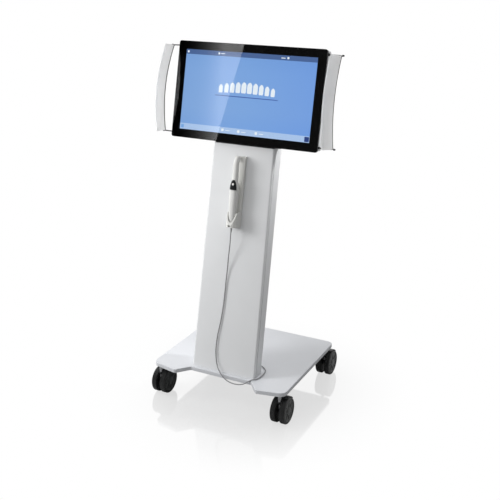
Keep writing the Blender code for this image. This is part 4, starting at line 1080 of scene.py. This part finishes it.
def strain_relief(place):
    """Ribbed sleeve on the wand's lower end, wider towards the wand."""
    profile = [(0, 0), (0.0022, 0), (0.0026, 0.0004)]
    for i in range(RELIEF_RIBS):
        low = 0.0012 + i * RELIEF_PITCH
        radius = 0.0028 + i * 0.00022
        groove = radius - RELIEF_GROOVE
        profile += [(radius, low), (radius, low + RELIEF_RIB_W)]
        profile += [(groove, low + RELIEF_RIB_W + 0.0003), (groove, low + RELIEF_PITCH - 0.0003)]
    profile += [
        (RELIEF_COLLAR_R, 0.0175),
        (RELIEF_COLLAR_R, RELIEF_L - 0.0005),
        (RELIEF_COLLAR_R - 0.0005, RELIEF_L),
        (0, RELIEF_L),
    ]
    tip = WAND_FOOT_UP - GAP - RELIEF_L
    at = place @ Matrix.Translation((WAND_X, -wand_line(WAND_FOOT_UP), tip))
    sleeve = moved(turned(profile, 40), at)
    piece("ribbed_relief", sleeve, "grey_rubber", "cart", ("wand_strain_relief",))


def wand():
    place = face_matrix()
    grip(place)
    neck(place)
    trim(place)
    button(place)
    strain_relief(place)


# Back of the column and of the screen


def screw(radius):
    """A round screw head with a raised ring and a sunk middle."""
    rim = 0.0010
    profile = [
        (0, 0.0004),
        (radius * 0.35, 0.0003),
        (radius * 0.45, rim),
        (radius * 0.85, rim + 0.0002),
        (radius, rim / 2),
        (radius, -0.0006),
        (0, -0.0006),
    ]
    return turned(profile, 28)


def socket_pins():
    """The three flat pins in the mains inlet."""
    low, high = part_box("mains_inlet")
    middle = (Vector(low) + Vector(high)) / 2
    up = face_matrix().to_3x3() @ Vector((0, 0, 1))
    out = Vector((0, up.z, -up.y))
    outline = rounded_rectangle(-PIN_HALF_W, PIN_HALF_W, -PIN_HALF_H, PIN_HALF_H, 0.0006, 4)
    pins = []
    for x, rise in PIN_PLACES:
        pin_at = Matrix((Vector((-1, 0, 0)), up, out)).transposed().to_4x4()
        pin_at.translation = middle + Vector((x, 0, 0)) + up * rise - out * PIN_ROOT
        pins.append(moved(plate(outline, 0.0, PIN_L), pin_at))
    piece("socket_pins", joined(pins), "zinc_steel")


def housing_screws():
    place = screen_matrix()
    turn = Matrix.Rotation(-math.pi / 2, 4, "X")
    heads = []
    for x in (-HOUSING_SCREW_X, HOUSING_SCREW_X):
        for z in (-HOUSING_SCREW_Z, HOUSING_SCREW_Z):
            at = Matrix.Translation((x, HOUSING_BACK, z))
            heads.append(moved(screw(SCREW_R), place @ at @ turn))
    piece("housing_screws", joined(heads), "zinc_steel")


# Cord


def smooth_curve(route, count):
    """Evenly spaced points on a smooth curve through the route's points."""
    points = [Vector(p) for p in route]
    points = [points[0] * 2 - points[1]] + points + [points[-1] * 2 - points[-2]]
    fine = []
    for a, b, c, d in zip(points, points[1:], points[2:], points[3:]):
        for i in range(24):
            t = i / 24
            square = (2 * a - 5 * b + 4 * c - d) * t**2
            cube = (3 * b - a - 3 * c + d) * t**3
            fine.append(0.5 * (2 * b + (c - a) * t + square + cube))
    fine.append(points[-2])
    lengths = [0.0]
    for a, b in zip(fine, fine[1:]):
        lengths.append(lengths[-1] + (b - a).length)
    result = []
    k = 0
    for i in range(count):
        goal = lengths[-1] * i / (count - 1)
        while k < len(fine) - 2 and lengths[k + 1] < goal:
            k += 1
        span = max(lengths[k + 1] - lengths[k], 1e-9)
        result.append(fine[k].lerp(fine[k + 1], (goal - lengths[k]) / span))
    return result


def end_of(node, direction):
    """Centre of a node's end face on the side that the direction points to."""
    points = [v.co for v in nodes[node].data.vertices]
    far = max(p.dot(direction) for p in points)
    face = [p for p in points if p.dot(direction) > far - 0.0002]
    return sum(face, Vector()) / len(face)


def cord():
    """The wand's lead: down the column's face, in a bow over the notch, round the foot and into the gland."""
    down = face_matrix().to_3x3() @ Vector((0, 0, -1))
    start = end_of("wand_strain_relief", down) + down * GAP
    out = Vector(GLAND_OUT).normalized()
    end = end_of("cord_gland", out) + out * GAP
    first = [start + down * CORD_LEAD * i for i in range(3)]
    last = [end + out * CORD_LEAD * i for i in (2, 1, 0)]
    line = smooth_curve(first + CORD_ROUTE + last, CORD_POINTS)
    lead = tube("lead", line, CORD_D / 2, "grey_rubber")
    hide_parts("wand_cord")


# Studio


def plane(name, corners, material):
    mesh = bpy.data.meshes.new(name)
    mesh.from_pydata([tuple(c) for c in corners], [], [(0, 1, 2, 3)])
    mesh.materials.append(material)
    obj = bpy.data.objects.new(name, mesh)
    bpy.context.scene.collection.objects.link(obj)
    return obj


def floor_material():
    """White gloss floor: a faint mirror and shadow near the cart, plain white to the camera further out."""
    s = Shader("studio_floor")
    s.set(Roughness=FLOOR_ROUGHNESS, IOR=FLOOR_MIRROR, Emission_Color=(1, 1, 1, 1))
    seen = s.add("ShaderNodeLightPath").outputs["Is Camera Ray"]
    tone = s.add("ShaderNodeMix", data_type="RGBA")
    tone.inputs["A"].default_value = (FLOOR_TONE, FLOOR_TONE, FLOOR_TONE, 1.0)
    tone.inputs["B"].default_value = (FLOOR_TONE_SEEN, FLOOR_TONE_SEEN, FLOOR_TONE_SEEN, 1.0)
    s.link(seen, tone.inputs["Factor"])
    s.feed(tone.outputs["Result"], "Base Color")
    s.feed(s.spread(seen, 0.0, 1.0, 0.0, FLOOR_GLOW), "Emission Strength")
    away = s.add("ShaderNodeVectorMath", operation="LENGTH")
    s.link(s.place(), away.inputs[0])
    fade = map_range(s.tree, away.outputs["Value"], FLOOR_FADE_START, FLOOR_FADE_END, 0.0, 1.0)
    fade.interpolation_type = "SMOOTHSTEP"
    both = s.add("ShaderNodeMath", operation="MULTIPLY")
    s.link(seen, both.inputs[0])
    s.link(fade.outputs["Result"], both.inputs[1])
    white = s.add("ShaderNodeEmission")
    s.blend(both.outputs["Value"], s.surface.outputs["BSDF"], white.outputs["Emission"])
    return s.material


def mirrored(x, z, reach):
    """Where the camera's ray goes after the glass turns it back at a point on the screen."""
    place = screen_matrix()
    point = place @ Vector((x, 0, z))
    normal = place.to_3x3() @ Vector((0, -1, 0))
    ray = (point - Vector(CAMERA_AT)).normalized()
    return point + (ray - normal * 2 * ray.dot(normal)) * reach


def card_material():
    """A soft light card that only mirror rays see, brightest along its right edge."""
    s = Shader("reflection_card")
    dark_x = mirrored(GLARE_END_X, 0, CARD_REACH).x
    bright_x = mirrored(GLARE_BOTTOM_X, -SCREEN_H / 2, CARD_REACH).x
    steep = s.add("ShaderNodeMath", operation="POWER")
    s.link(s.spread(s.along("X"), dark_x, bright_x, 0.0, 1.0), steep.inputs[0])
    steep.inputs[1].default_value = GLARE_POWER
    glow = s.add("ShaderNodeEmission")
    s.link(s.spread(steep.outputs["Value"], 0.0, 1.0, 0.0, GLARE_STRENGTH), glow.inputs["Strength"])
    clear = s.add("ShaderNodeBsdfTransparent")
    mirror_ray = s.add("ShaderNodeLightPath").outputs["Is Glossy Ray"]
    s.blend(mirror_ray, clear.outputs["BSDF"], glow.outputs["Emission"])
    return s.material


def reflection_card():
    """The card stands where the glass shows it, with a slanting right edge."""
    slope = (GLARE_TOP_X - GLARE_BOTTOM_X) / SCREEN_H
    middle = (GLARE_TOP_X + GLARE_BOTTOM_X) / 2
    tall = SCREEN_H * 1.6
    left = -SCREEN_W * 1.1
    spots = [(left, -tall), (middle - slope * tall, -tall), (middle + slope * tall, tall), (left, tall)]
    plane("reflection_card", [mirrored(x, z, CARD_REACH) for x, z in spots], card_material())


def area_light(name, at, aim, size, power, beam=math.pi):
    data = bpy.data.lights.new(name, "AREA")
    data.shape = "DISK"
    data.size = size
    data.energy = power
    data.spread = beam
    obj = bpy.data.objects.new(name, data)
    bpy.context.scene.collection.objects.link(obj)
    obj.location = at
    obj.visible_camera = False
    obj.visible_glossy = False
    obj.visible_transmission = False
    obj.rotation_euler = (Vector(aim) - Vector(at)).to_track_quat("-Z", "Y").to_euler()
    return obj


def sky():
    """White to the camera; it lights from the left, and mirrors see it dark in front and white behind."""
    world = bpy.data.worlds.new("studio")
    bpy.context.scene.world = world
    world.use_nodes = True
    tree = world.node_tree
    shade = tree.nodes["Background"]
    shade.inputs["Color"].default_value = (1, 1, 1, 1)
    ray = tree.nodes.new("ShaderNodeLightPath")
    place = tree.nodes.new("ShaderNodeTexCoord")
    parts = tree.nodes.new("ShaderNodeSeparateXYZ")
    tree.links.new(place.outputs["Generated"], parts.inputs["Vector"])

    def mixed(factor, first, second):
        node = tree.nodes.new("ShaderNodeMix")
        node.data_type = "FLOAT"
        tree.links.new(factor, node.inputs["Factor"])
        for socket, source in (("A", first), ("B", second)):
            if isinstance(source, float):
                node.inputs[socket].default_value = source
            else:
                tree.links.new(source, node.inputs[socket])
        return node.outputs["Result"]

    room = map_range(tree, parts.outputs["X"], -1.0, 1.0, ROOM_LEFT, ROOM_RIGHT)
    mirror = map_range(tree, parts.outputs["Y"], MIRROR_FRONT_Y, MIRROR_BACK_Y, MIRROR_FRONT, MIRROR_BACK)
    unseen = mixed(ray.outputs["Is Glossy Ray"], room.outputs["Result"], mirror.outputs["Result"])
    tree.links.new(mixed(ray.outputs["Is Camera Ray"], unseen, 1.0), shade.inputs["Strength"])


def studio():
    far = FLOOR_REACH
    plane("studio_floor", [(-far, -far, 0), (far, -far, 0), (far, far, 0), (-far, far, 0)], floor_material())
    reflection_card()
    sky()
    area_light("key_light", KEY_AT, KEY_AIM, KEY_SIZE, KEY_POWER)
    area_light("rim_light", RIM_AT, RIM_AIM, RIM_SIZE, RIM_POWER, RIM_BEAM)
    bpy.context.scene.view_settings.view_transform = "Standard"


camera()
cord()
dress_nodes()
for castor_name in ("front_left", "front_right", "rear_left", "rear_right"):
    castor(castor_name)
display()
wings()
wand()
socket_pins()
housing_screws()
studio()
